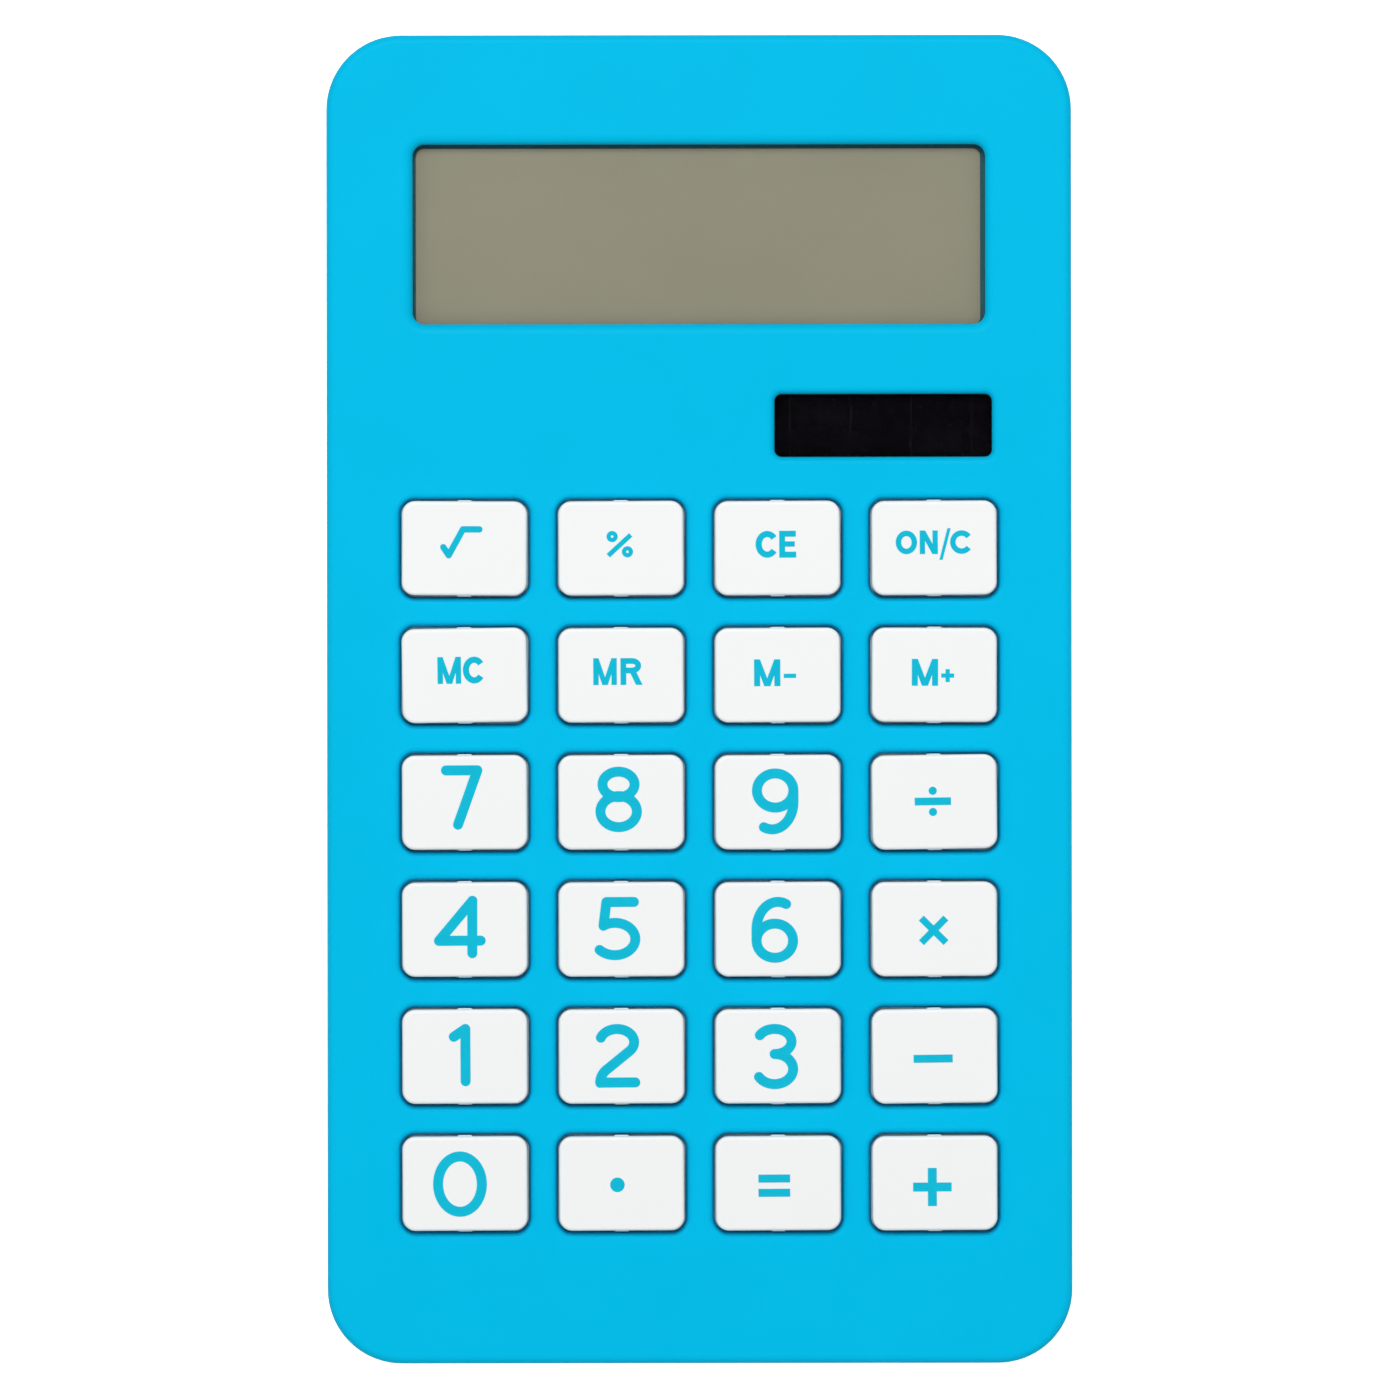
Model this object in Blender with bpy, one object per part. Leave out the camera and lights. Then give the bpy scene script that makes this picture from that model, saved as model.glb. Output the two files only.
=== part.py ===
"""Desk calculator: a flat two-shell case with a display, a solar window and a 24-key keypad.

Units are metres. The origin is the centre of the underside, on the plane the feet stand on.
+X is the calculator's right, +Y points to the display end and +Z points up out of the keys.
Neighbouring pieces that touch on the real object keep a gap of GAP.
"""

from math import cos, hypot, pi, radians, sin

import bmesh
import bpy

GAP = 0.0003
CUT_OVERRUN = 0.0005

# Case: outline, heights and walls
CASE_WIDTH = 0.0820
CASE_LENGTH = 0.1460
CASE_CORNER = 0.0083
CASE_BOTTOM = 0.0008
FLOOR_TOP = 0.0024
PARTING_Z = 0.0056
DECK_UNDERSIDE = 0.0103
DECK_TOP = 0.0120
SIDE_WALL = 0.0015
SIDE_DRAFT = 0.00015
DECK_EDGE_RADIUS = 0.0009
BOTTOM_EDGE_RADIUS = 0.0022
INNER_CORNER_CHAMFER = 0.0005
LIP_TOP = 0.0067
LIP_FOOT = 0.0039
LIP_THICKNESS = 0.0008
CORNER_STEPS = 5

# Keypad
KEY_SIZE = (0.0138, 0.0104)
KEY_CORNER = 0.0014
KEY_EDGE_RADIUS = 0.00055
KEY_TOP = 0.0134
KEY_PITCH_X = 0.017155
KEY_PITCH_Y = 0.01392
KEYPAD_TOP_ROW_Y = 0.01655
KEY_FLANGE = 0.0009
KEY_FLANGE_Z = (0.0091, 0.0100)
KEY_WALL = 0.0011
KEY_ROOF = 0.0012
KEY_STEM = 0.0032
KEY_STEPS = 2
APERTURE_EDGE_RADIUS = 0.00065
KEY_ROWS = (
    ("key_sqrt", "key_percent", "key_ce", "key_on_c"),
    ("key_mc", "key_mr", "key_m_minus", "key_m_plus"),
    ("key_7", "key_8", "key_9", "key_divide"),
    ("key_4", "key_5", "key_6", "key_multiply"),
    ("key_1", "key_2", "key_3", "key_minus"),
    ("key_0", "key_point", "key_equals", "key_plus"),
)

# Rubber dome sheet under the keys
SHEET_SIZE = (0.0666, 0.0830)
SHEET_CENTRE = (0.0, -0.01865)
SHEET_CORNER = 0.0010
SHEET_Z = (0.0061, 0.0069)
DOME_TOP = 0.0086
DOME_BASE_RADIUS = 0.0042
DOME_TOP_RADIUS = 0.0024
DOME_EDGE = 0.0003
DOME_SKIN = 0.0006
DOME_STEPS = 8

# Windows: the clear opening, and the clear plate in a rebate under its edge
WINDOW_SHELF_Z = 0.01105
WINDOW_MARGIN = 0.0015
PLATE_Z = (0.01005, 0.01075)
DISPLAY_SIZE = (0.0628, 0.0197)
DISPLAY_CENTRE = (0.0, 0.0510)
DISPLAY_CORNER = 0.0012
DISPLAY_EDGE_RADIUS = 0.0009
SOLAR_SIZE = (0.02385, 0.0069)
SOLAR_CENTRE = (0.0202, 0.0300)
SOLAR_CORNER = 0.0006
SOLAR_EDGE_RADIUS = 0.0008

# Display module: glass panel, reflecting film and the tray that holds them
LCD_SIZE = (0.0650, 0.0232)
LCD_LEDGE = 0.0014
LCD_Z = (0.00765, 0.0087, 0.00975)
FILM_Z = (0.0072, 0.0074)
TRAY_FLOOR_Z = (0.00625, 0.00695)
TRAY_WALL = 0.0010
TRAY_TOP = 0.0100
TRAY_EAR_RADIUS = 0.0022
TRAY_SLOT_Z = 0.00835
CABLE_X = (-0.0140, 0.0240)
CABLE_THICKNESS = 0.0002

# Circuit board and the pieces on it
BOARD_Z = (0.0045, 0.0058)
BOARD_SIZE = (0.0756, 0.0984)
BOARD_CENTRE = (0.0, -0.0128)
ON_BOARD = 0.0061
CHIP_CENTRE = (-0.0065, 0.0295)
CHIP_RADIUS = 0.0050
CHIP_HEIGHT = 0.0013
CAPACITOR_CENTRE = (0.0013, 0.0300)
CAPACITOR_RADIUS = 0.0017
CAPACITOR_LENGTH = 0.0060
DIODE_CENTRE = (0.0358, 0.0300)
DIODE_RADIUS = 0.0009
DIODE_LENGTH = 0.0042

# Solar cell, the foam behind it and its two leads
SOLAR_CELL_SIZE = (0.0266, 0.0088)
SOLAR_CELL_Z = (0.00865, 0.00975)
SOLAR_PAD_SIZE = (0.0200, 0.0060)
SOLAR_PAD_Z = (0.0061, 0.00835)
WIRE_RADIUS = 0.00035
WIRE_YS = {"solar_wire_positive": 0.0275, "solar_wire_negative": 0.0325}

# Battery: a button cell in a door that locks with a part turn of a coin
BATTERY_CENTRE = (-0.0240, 0.0302)
CELL_RADIUS = 0.0058
CELL_Z = (0.0025, 0.00555)
CELL_CAP_RADIUS = 0.0048
CONTACT_THICKNESS = 0.0002
BOARD_NOTCH_RADIUS = 0.0070
DOOR_RADIUS = 0.0075
DOOR_PLATE_TOP = 0.0022
DOOR_CUP_RADII = (0.00615, 0.0068)
DOOR_CUP_TOP = 0.0039
DOOR_LUG_RADII = (0.0064, 0.0089)
DOOR_LUG_Z = (0.0027, 0.0035)
DOOR_LUG_HALF_ANGLE = radians(14)
DOOR_TURN = radians(45)
DOOR_NOTCH_HALF_ANGLE = radians(18)
DOOR_STOP_HALF_ANGLE = radians(3)
COIN_SLOT = (0.0095, 0.0016)
COIN_SLOT_DEPTH = 0.0007

# Feet, screws and support posts
FOOT_RADIUS = 0.0040
FOOT_TOP = 0.0012
FOOT_CENTRE = (0.0300, 0.0580)
CASE_SCREW_CENTRE = (0.0345, 0.0665)
SIDE_SCREW_X = 0.0359
BOARD_SCREW_YS = (0.0195, -0.0530)
CASE_BOSS_RADIUS = 0.0023
SMALL_BOSS_RADIUS = 0.0018
PILOT_TOP = 0.0098
POST_RADIUS = 0.0032
POST_TOP = 0.0042
SUPPORT_RADIUS = 0.0015
COUNTERBORE_TOP = 0.0028
CASE_SCREW = {"head": 0.0019, "shank": 0.0010, "head_z": (0.0012, 0.0025), "tip": 0.0085}
BOARD_SCREW = {"head": 0.0016, "shank": 0.0008, "head_z": (0.0030, 0.0042), "tip": 0.0092}
TRAY_SCREW = {"head": 0.0016, "shank": 0.0008, "head_z": (0.00475, 0.00595), "tip": 0.0096}
LABEL_SIZE = (0.0400, 0.0220)
LABEL_DEPTH = 0.0002
LABEL_CENTRE = (0.0, -0.0100)


def material(name, colour, roughness, metallic=0.0, alpha=1.0):
    made = bpy.data.materials.new(name)
    made.use_nodes = True
    shader = made.node_tree.nodes["Principled BSDF"]
    shader.inputs["Base Color"].default_value = (*colour, 1.0)
    shader.inputs["Roughness"].default_value = roughness
    shader.inputs["Metallic"].default_value = metallic
    shader.inputs["Alpha"].default_value = alpha
    return made


def ring(outline, z):
    return [(x, y, z) for x, y in outline]


def rounded_rectangle(size, radius, steps, centre=(0.0, 0.0)):
    """Outline points, anticlockwise seen from above."""
    points = []
    for quarter, (side_x, side_y) in enumerate(((1, 1), (-1, 1), (-1, -1), (1, -1))):
        corner_x = centre[0] + side_x * (size[0] / 2 - radius)
        corner_y = centre[1] + side_y * (size[1] / 2 - radius)
        for step in range(steps + 1):
            angle = (quarter + step / steps) * pi / 2
            points.append((corner_x + radius * cos(angle), corner_y + radius * sin(angle)))
    return points


def stacked(size, corner, steps, levels, centre=(0.0, 0.0)):
    """Rings of one rounded rectangle, grown or shrunk by each level's (outset, z)."""
    rings = []
    for outset, z in levels:
        grown = (size[0] + 2 * outset, size[1] + 2 * outset)
        rings.append(ring(rounded_rectangle(grown, corner + outset, steps, centre), z))
    return rings


def slab(size, corner, heights, centre=(0.0, 0.0), steps=3):
    return stacked(size, corner, steps, [(0.0, z) for z in heights], centre)


def circle(radius, steps, centre=(0.0, 0.0)):
    angles = [2 * pi * step / steps for step in range(steps)]
    return [(centre[0] + radius * cos(a), centre[1] + radius * sin(a)) for a in angles]


def turned(profile, steps, centre=(0.0, 0.0)):
    """Rings of a body of revolution about a vertical axis, from (radius, z) pairs."""
    return [ring(circle(radius, steps, centre), z) for radius, z in profile]


def sector(radii, middle, half_angle, heights, steps=3):
    """Rings of a curved block about the origin, between two radii and two heights."""
    spread = [middle + half_angle * (2 * step / steps - 1) for step in range(steps + 1)]
    outer = [(radii[1] * cos(a), radii[1] * sin(a)) for a in spread]
    inner = [(radii[0] * cos(a), radii[0] * sin(a)) for a in reversed(spread)]
    return [ring(outer + inner, z) for z in heights]


def shifted(rings, centre):
    return [[(x + centre[0], y + centre[1], z) for x, y, z in points] for points in rings]


def block(low, high):
    outline = [(low[0], low[1]), (high[0], low[1]), (high[0], high[1]), (low[0], high[1])]
    return [ring(outline, low[2]), ring(outline, high[2])]


def strip_outline(path, thickness):
    """Outline of a bent strip with one face on the path and the other to the path's right."""
    other = []
    for before, point, after in zip([path[0], *path], path, [*path[1:], path[-1]]):
        run = (after[0] - before[0], after[1] - before[1])
        scale = thickness / hypot(*run)
        other.append((point[0] + run[1] * scale, point[1] - run[0] * scale))
    return list(path) + other[::-1]


def rounded_edge(radius, outset, z, steps):
    """(outset, z) levels over a rounded upper edge, from its side to its top."""
    angles = [step / steps * pi / 2 for step in range(steps + 1)]
    return [(outset - radius * (1 - cos(a)), z - radius * (1 - sin(a))) for a in angles]


def opening(size, corner, edge_radius, centre, low_levels):
    """Cutter for a hole up through the deck, with its upper edge rounded over."""
    spring_z = DECK_TOP - edge_radius
    levels = list(low_levels)
    for angle in (0.0, radians(45)):
        levels.append((edge_radius * (1 - cos(angle)), spring_z + edge_radius * sin(angle)))
    levels.append((edge_radius, DECK_TOP + CUT_OVERRUN / 10))
    levels.append((edge_radius, DECK_TOP + CUT_OVERRUN))
    return stacked(size, corner, KEY_STEPS, levels, centre)


def lofted_mesh(name, solids):
    """A mesh of closed bodies, each skinned over rings of equal length and capped at its ends."""
    bm = bmesh.new()
    for rings in solids:
        rows = [[bm.verts.new(point) for point in points] for points in rings]
        for low, high in zip(rows, rows[1:]):
            for i, start in enumerate(low):
                j = (i + 1) % len(low)
                bm.faces.new((start, low[j], high[j], high[i]))
        bm.faces.new(rows[0][::-1])
        bm.faces.new(rows[-1])
    bmesh.ops.recalc_face_normals(bm, faces=bm.faces)
    mesh = bpy.data.meshes.new(name)
    bm.to_mesh(mesh)
    bm.free()
    mesh.shade_smooth()
    mesh.set_sharp_from_angle(angle=radians(35))
    return mesh


def place(name, mesh, location=(0.0, 0.0, 0.0)):
    obj = bpy.data.objects.new(name, mesh)
    obj.location = location
    obj.parent = bpy.data.objects["calculator"]
    bpy.context.scene.collection.objects.link(obj)
    return obj


def solid(name, finish, rings, location=(0.0, 0.0, 0.0)):
    mesh = lofted_mesh(name, [rings])
    mesh.materials.append(finish)
    return place(name, mesh, location)


def combine(target, operation, solids, location=(0.0, 0.0, 0.0)):
    """Adds or cuts closed bodies that don't meet each other, with one Boolean."""
    name = f"{target.name}_tool_{len(target.modifiers) + 1}"
    tool = place(name, lofted_mesh(name, solids), location)
    tool.hide_render = True
    tool.display_type = "WIRE"
    modifier = target.modifiers.new(name, "BOOLEAN")
    modifier.operation = operation
    modifier.object = tool
    modifier.solver = "EXACT"


def key_centres():
    """(name, x, y) of each key, row by row from the display end."""
    for row, names in enumerate(KEY_ROWS):
        for column, name in enumerate(names):
            yield name, (column - 1.5) * KEY_PITCH_X, KEYPAD_TOP_ROW_Y - row * KEY_PITCH_Y


def four_corners(centre):
    return [(side_x * centre[0], side_y * centre[1]) for side_y in (1, -1) for side_x in (-1, 1)]


def board_screw_centres():
    return [(side * SIDE_SCREW_X, y) for y in BOARD_SCREW_YS for side in (-1, 1)]


def tray_screw_centres():
    return [(side * SIDE_SCREW_X, DISPLAY_CENTRE[1]) for side in (-1, 1)]


def front_case(plastic):
    inner = -SIDE_WALL - SIDE_DRAFT
    levels = rounded_edge(DECK_EDGE_RADIUS, -SIDE_DRAFT, DECK_TOP, 3)[::-1]
    levels += [(0.0, PARTING_Z + GAP / 2), (-SIDE_WALL, PARTING_Z + GAP / 2)]
    levels += [(inner, DECK_UNDERSIDE - INNER_CORNER_CHAMFER)]
    levels += [(inner - INNER_CORNER_CHAMFER, DECK_UNDERSIDE)]
    shell = stacked((CASE_WIDTH, CASE_LENGTH), CASE_CORNER, CORNER_STEPS, levels)
    case = solid("front_case", plastic, shell)

    groups = (
        (four_corners(CASE_SCREW_CENTRE), CASE_BOSS_RADIUS, POST_TOP + GAP, CASE_SCREW),
        (board_screw_centres(), SMALL_BOSS_RADIUS, ON_BOARD, BOARD_SCREW),
        (tray_screw_centres(), SMALL_BOSS_RADIUS, TRAY_FLOOR_Z[1] + GAP, TRAY_SCREW),
    )
    bosses = []
    cuts = []
    for centres, radius, low_z, screw in groups:
        pilot = screw["shank"] + GAP
        for centre in centres:
            bosses.append(turned(((radius, low_z), (radius, DECK_UNDERSIDE + GAP)), 12, centre))
            cuts.append(turned(((pilot, low_z - CUT_OVERRUN), (pilot, PILOT_TOP)), 10, centre))
    combine(case, "UNION", bosses)

    under = DECK_UNDERSIDE - CUT_OVERRUN
    rebate = [(WINDOW_MARGIN, under), (WINDOW_MARGIN, WINDOW_SHELF_Z), (0.0, WINDOW_SHELF_Z)]
    cuts.append(
        opening(DISPLAY_SIZE, DISPLAY_CORNER, DISPLAY_EDGE_RADIUS, DISPLAY_CENTRE, rebate)
    )
    cuts.append(opening(SOLAR_SIZE, SOLAR_CORNER, SOLAR_EDGE_RADIUS, SOLAR_CENTRE, rebate))
    aperture = (KEY_SIZE[0] + 2 * GAP, KEY_SIZE[1] + 2 * GAP)
    for _, x, y in key_centres():
        corner = KEY_CORNER + GAP
        cuts.append(opening(aperture, corner, APERTURE_EDGE_RADIUS, (x, y), [(0.0, under)]))
    combine(case, "DIFFERENCE", cuts)


def rear_case(plastic):
    lip = -SIDE_WALL - GAP
    rim_z = PARTING_Z - GAP / 2
    levels = []
    for outset, z in rounded_edge(BOTTOM_EDGE_RADIUS, -SIDE_DRAFT, 0.0, 3)[::-1]:
        levels.append((outset, CASE_BOTTOM - z))
    levels += [(0.0, rim_z), (lip, rim_z), (lip, LIP_TOP), (lip - LIP_THICKNESS, LIP_TOP)]
    levels += [(lip - LIP_THICKNESS, LIP_FOOT), (-SIDE_WALL, LIP_FOOT - LIP_THICKNESS)]
    levels += [(-BOTTOM_EDGE_RADIUS, FLOOR_TOP)]
    shell = stacked((CASE_WIDTH, CASE_LENGTH), CASE_CORNER, CORNER_STEPS, levels)
    case = solid("rear_case", plastic, shell)

    buried_z = FLOOR_TOP - GAP
    posts = [
        turned(((POST_RADIUS, buried_z), (POST_RADIUS, POST_TOP)), 12, centre)
        for centre in four_corners(CASE_SCREW_CENTRE)
    ]
    for column in (-1, 0, 1):
        for row in (0.5, 2.5, 4.5):
            centre = (column * KEY_PITCH_X, KEYPAD_TOP_ROW_Y - row * KEY_PITCH_Y)
            support = ((SUPPORT_RADIUS, buried_z), (SUPPORT_RADIUS, POST_TOP))
            posts.append(turned(support, 6, centre))
    reach = DOOR_LUG_HALF_ANGLE + 2 * DOOR_STOP_HALF_ANGLE
    for middle in (reach, -DOOR_TURN - reach, pi + reach, pi - DOOR_TURN - reach):
        stop_radii = (DOOR_RADIUS + GAP * 2, DOOR_LUG_RADII[1] + GAP)
        stop_z = (buried_z, DOOR_LUG_Z[1])
        stop = sector(stop_radii, middle, DOOR_STOP_HALF_ANGLE, stop_z, 1)
        posts.append(shifted(stop, BATTERY_CENTRE))
    combine(case, "UNION", posts)

    below = CASE_BOTTOM - CUT_OVERRUN
    cuts = []
    for centre in four_corners(CASE_SCREW_CENTRE):
        head = CASE_SCREW["head"] + GAP
        shank = CASE_SCREW["shank"] + GAP
        bore = ((head, below), (head, COUNTERBORE_TOP), (shank, COUNTERBORE_TOP))
        cuts.append(turned((*bore, (shank, POST_TOP + CUT_OVERRUN)), 12, centre))
    for centre in four_corners(FOOT_CENTRE):
        seat = FOOT_RADIUS + GAP
        cuts.append(turned(((seat, below), (seat, FOOT_TOP + GAP)), 20, centre))
    cuts.append(slab(LABEL_SIZE, KEY_CORNER, (below, CASE_BOTTOM + LABEL_DEPTH), LABEL_CENTRE))
    hole = DOOR_RADIUS + GAP
    above = FLOOR_TOP + CUT_OVERRUN
    cuts.append(turned(((hole, below), (hole, above)), 32, BATTERY_CENTRE))
    combine(case, "DIFFERENCE", cuts)
    notches = []
    for middle in (-DOOR_TURN, pi - DOOR_TURN):
        notch_radii = (DOOR_LUG_RADII[0], DOOR_LUG_RADII[1] + GAP)
        notch = sector(notch_radii, middle, DOOR_NOTCH_HALF_ANGLE, (below, above))
        notches.append(shifted(notch, BATTERY_CENTRE))
    combine(case, "DIFFERENCE", notches)


def keycap_mesh(plastic):
    """A hollow cap with a retaining flange and a stem, about the key's travel axis at z = 0."""
    levels = [(KEY_FLANGE, KEY_FLANGE_Z[0]), (KEY_FLANGE, KEY_FLANGE_Z[1]), (0.0, KEY_FLANGE_Z[1])]
    levels += rounded_edge(KEY_EDGE_RADIUS, 0.0, KEY_TOP, 2)
    outer = stacked(KEY_SIZE, KEY_CORNER, KEY_STEPS, levels)
    ceiling = KEY_TOP - KEY_ROOF
    hollow = [(-KEY_WALL, ceiling), (-KEY_WALL, KEY_FLANGE_Z[0])]
    inner = stacked(KEY_SIZE, KEY_CORNER, KEY_STEPS, hollow)
    stem = stacked((KEY_STEM, KEY_STEM), KEY_STEM / 5, KEY_STEPS, [(0.0, DOME_TOP + GAP), (0.0, ceiling)])
    mesh = lofted_mesh("keycap", [stem + inner + outer])
    mesh.materials.append(plastic)
    return mesh


def keys(plastic):
    mesh = keycap_mesh(plastic)
    for name, x, y in key_centres():
        place(name, mesh, (x, y, 0.0))


def dome_sheet(rubber):
    sheet = solid("dome_sheet", rubber, slab(SHEET_SIZE, SHEET_CORNER, SHEET_Z, SHEET_CENTRE))
    outer = (
        (DOME_BASE_RADIUS, SHEET_Z[1] - GAP),
        (DOME_BASE_RADIUS, SHEET_Z[1] + CUT_OVERRUN / 10),
        (DOME_TOP_RADIUS + DOME_EDGE, DOME_TOP - DOME_EDGE),
        (DOME_TOP_RADIUS, DOME_TOP),
    )
    hollow = (
        (DOME_BASE_RADIUS - DOME_SKIN, SHEET_Z[0] - CUT_OVERRUN),
        (DOME_BASE_RADIUS - DOME_SKIN, SHEET_Z[1] - DOME_SKIN / 2),
        (DOME_TOP_RADIUS - DOME_SKIN / 2, DOME_TOP - DOME_SKIN),
    )
    centres = [(x, y) for _, x, y in key_centres()]
    combine(sheet, "UNION", [turned(outer, DOME_STEPS, centre) for centre in centres])
    combine(sheet, "DIFFERENCE", [turned(hollow, DOME_STEPS, centre) for centre in centres])


def windows(clear):
    margin = WINDOW_MARGIN - GAP
    for name, size, corner, centre in (
        ("display_window", DISPLAY_SIZE, DISPLAY_CORNER, DISPLAY_CENTRE),
        ("solar_window", SOLAR_SIZE, SOLAR_CORNER, SOLAR_CENTRE),
    ):
        grown = (size[0] + 2 * margin, size[1] + 2 * margin)
        solid(name, clear, slab(grown, corner + margin, PLATE_Z, centre))


def display_module(glass, film, plastic, foil):
    x, y = DISPLAY_CENTRE
    half_depth = LCD_SIZE[1] / 2
    low, step, high = LCD_Z
    stepped = [
        (y - half_depth, low),
        (y + half_depth, low),
        (y + half_depth, high),
        (y - half_depth + LCD_LEDGE, high),
        (y - half_depth + LCD_LEDGE, step),
        (y - half_depth, step),
    ]
    ends = (x - LCD_SIZE[0] / 2, x + LCD_SIZE[0] / 2)
    solid("lcd_panel", glass, [[(end, py, pz) for py, pz in stepped] for end in ends])
    film_size = (LCD_SIZE[0] - 2 * GAP, LCD_SIZE[1] - 2 * GAP)
    solid("lcd_reflector", film, slab(film_size, GAP, FILM_Z, DISPLAY_CENTRE))

    tray_size = tuple(side + 2 * (GAP + TRAY_WALL) for side in LCD_SIZE)
    levels = [(0.0, TRAY_FLOOR_Z[0]), (0.0, TRAY_TOP), (-TRAY_WALL, TRAY_TOP)]
    levels += [(-TRAY_WALL, TRAY_FLOOR_Z[1])]
    tray = solid(
        "lcd_bracket", plastic, stacked(tray_size, 1.2 * TRAY_WALL, 2, levels, DISPLAY_CENTRE)
    )
    ears = []
    holes = []
    for centre in tray_screw_centres():
        ear = ((TRAY_EAR_RADIUS, TRAY_FLOOR_Z[0]), (TRAY_EAR_RADIUS, TRAY_FLOOR_Z[1]))
        ears.append(turned(ear, 12, centre))
        bore = TRAY_SCREW["shank"] + GAP
        below = TRAY_FLOOR_Z[0] - CUT_OVERRUN
        holes.append(turned(((bore, below), (bore, TRAY_FLOOR_Z[1] + CUT_OVERRUN)), 12, centre))
    combine(tray, "UNION", ears)
    slot_y = y - tray_size[1] / 2
    slot_low = (CABLE_X[0] - GAP, slot_y - CUT_OVERRUN, TRAY_SLOT_Z)
    slot_high = (CABLE_X[1] + GAP, slot_y + TRAY_WALL + CUT_OVERRUN, TRAY_TOP + CUT_OVERRUN)
    combine(tray, "DIFFERENCE", [*holes, block(slot_low, slot_high)])

    bond_z = step + GAP
    path = [
        (y - half_depth + LCD_LEDGE - GAP, bond_z),
        (slot_y, bond_z),
        (slot_y - 0.0008, bond_z - 0.0005),
        (slot_y - 0.0014, ON_BOARD + 0.0003),
        (slot_y - 0.0020, ON_BOARD),
        (slot_y - 0.0031, ON_BOARD),
    ]
    strip = strip_outline(path, CABLE_THICKNESS)
    solid("heat_seal_cable", foil, [[(end, py, pz) for py, pz in strip] for end in CABLE_X])


def circuit_board(laminate):
    board = solid("circuit_board", laminate, slab(BOARD_SIZE, 0.0010, BOARD_Z, BOARD_CENTRE))
    below = BOARD_Z[0] - CUT_OVERRUN
    above = BOARD_Z[1] + CUT_OVERRUN
    bore = BOARD_SCREW["shank"] + GAP
    holes = [turned(((bore, below), (bore, above)), 12, c) for c in board_screw_centres()]
    edge_y = BOARD_CENTRE[1] + BOARD_SIZE[1] / 2
    x, y = BATTERY_CENTRE
    angles = [pi + step / 12 * pi for step in range(13)]
    notch = [(x + BOARD_NOTCH_RADIUS * cos(a), y + BOARD_NOTCH_RADIUS * sin(a)) for a in angles]
    notch.append((x + BOARD_NOTCH_RADIUS, edge_y + CUT_OVERRUN))
    notch.append((x - BOARD_NOTCH_RADIUS, edge_y + CUT_OVERRUN))
    holes.append([ring(notch, below), ring(notch, above)])
    combine(board, "DIFFERENCE", holes)


def lying_cylinder(radius, length, centre, steps):
    """Rings of a rounded-end cylinder along Y, resting on the circuit board's components plane."""
    rings = []
    for y, scale in ((-0.5, 0.8), (-0.44, 1.0), (0.44, 1.0), (0.5, 0.8)):
        outline = circle(radius * scale, steps)
        base = (centre[0], centre[1] + y * length, ON_BOARD + radius)
        rings.append([(base[0] + px, base[1], base[2] + pz) for px, pz in outline])
    return rings


def board_components(epoxy, can, glass):
    angles = [step / 3 * pi / 2 for step in range(3)]
    profile = [(CHIP_RADIUS * cos(a), ON_BOARD + GAP + CHIP_HEIGHT * sin(a)) for a in angles]
    blob = turned([(CHIP_RADIUS, ON_BOARD), *profile], 16, CHIP_CENTRE)
    solid("chip_blob", epoxy, blob)
    capacitor = lying_cylinder(CAPACITOR_RADIUS, CAPACITOR_LENGTH, CAPACITOR_CENTRE, 16)
    solid("filter_capacitor", can, capacitor)
    solid("clamp_diode", glass, lying_cylinder(DIODE_RADIUS, DIODE_LENGTH, DIODE_CENTRE, 12))


def solar_supply(cell, foam, insulation):
    solid("solar_cell", cell, slab(SOLAR_CELL_SIZE, GAP, SOLAR_CELL_Z, SOLAR_CENTRE, 1))
    solid("solar_pad", foam, slab(SOLAR_PAD_SIZE, GAP, SOLAR_PAD_Z, SOLAR_CENTRE, 1))
    start_x = SOLAR_CENTRE[0] - SOLAR_CELL_SIZE[0] / 2 + 0.0012
    top_z = SOLAR_CELL_Z[0] - GAP
    route = [(0.0, top_z), (0.0, top_z - 0.0004), (-0.0006, top_z - 0.0009)]
    route += [(-0.0024, top_z - 0.0010), (-0.0030, ON_BOARD + 0.0005), (-0.0030, ON_BOARD)]
    for name, y in WIRE_YS.items():
        curve = bpy.data.curves.new(name, "CURVE")
        curve.dimensions = "3D"
        curve.bevel_depth = WIRE_RADIUS
        curve.bevel_resolution = 2
        curve.use_fill_caps = True
        spline = curve.splines.new("POLY")
        spline.points.add(len(route) - 1)
        for point, (x, z) in zip(spline.points, route):
            point.co = (start_x + x, y, z, 1.0)
        curve.materials.append(insulation[name])
        place(name, curve)


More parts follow.
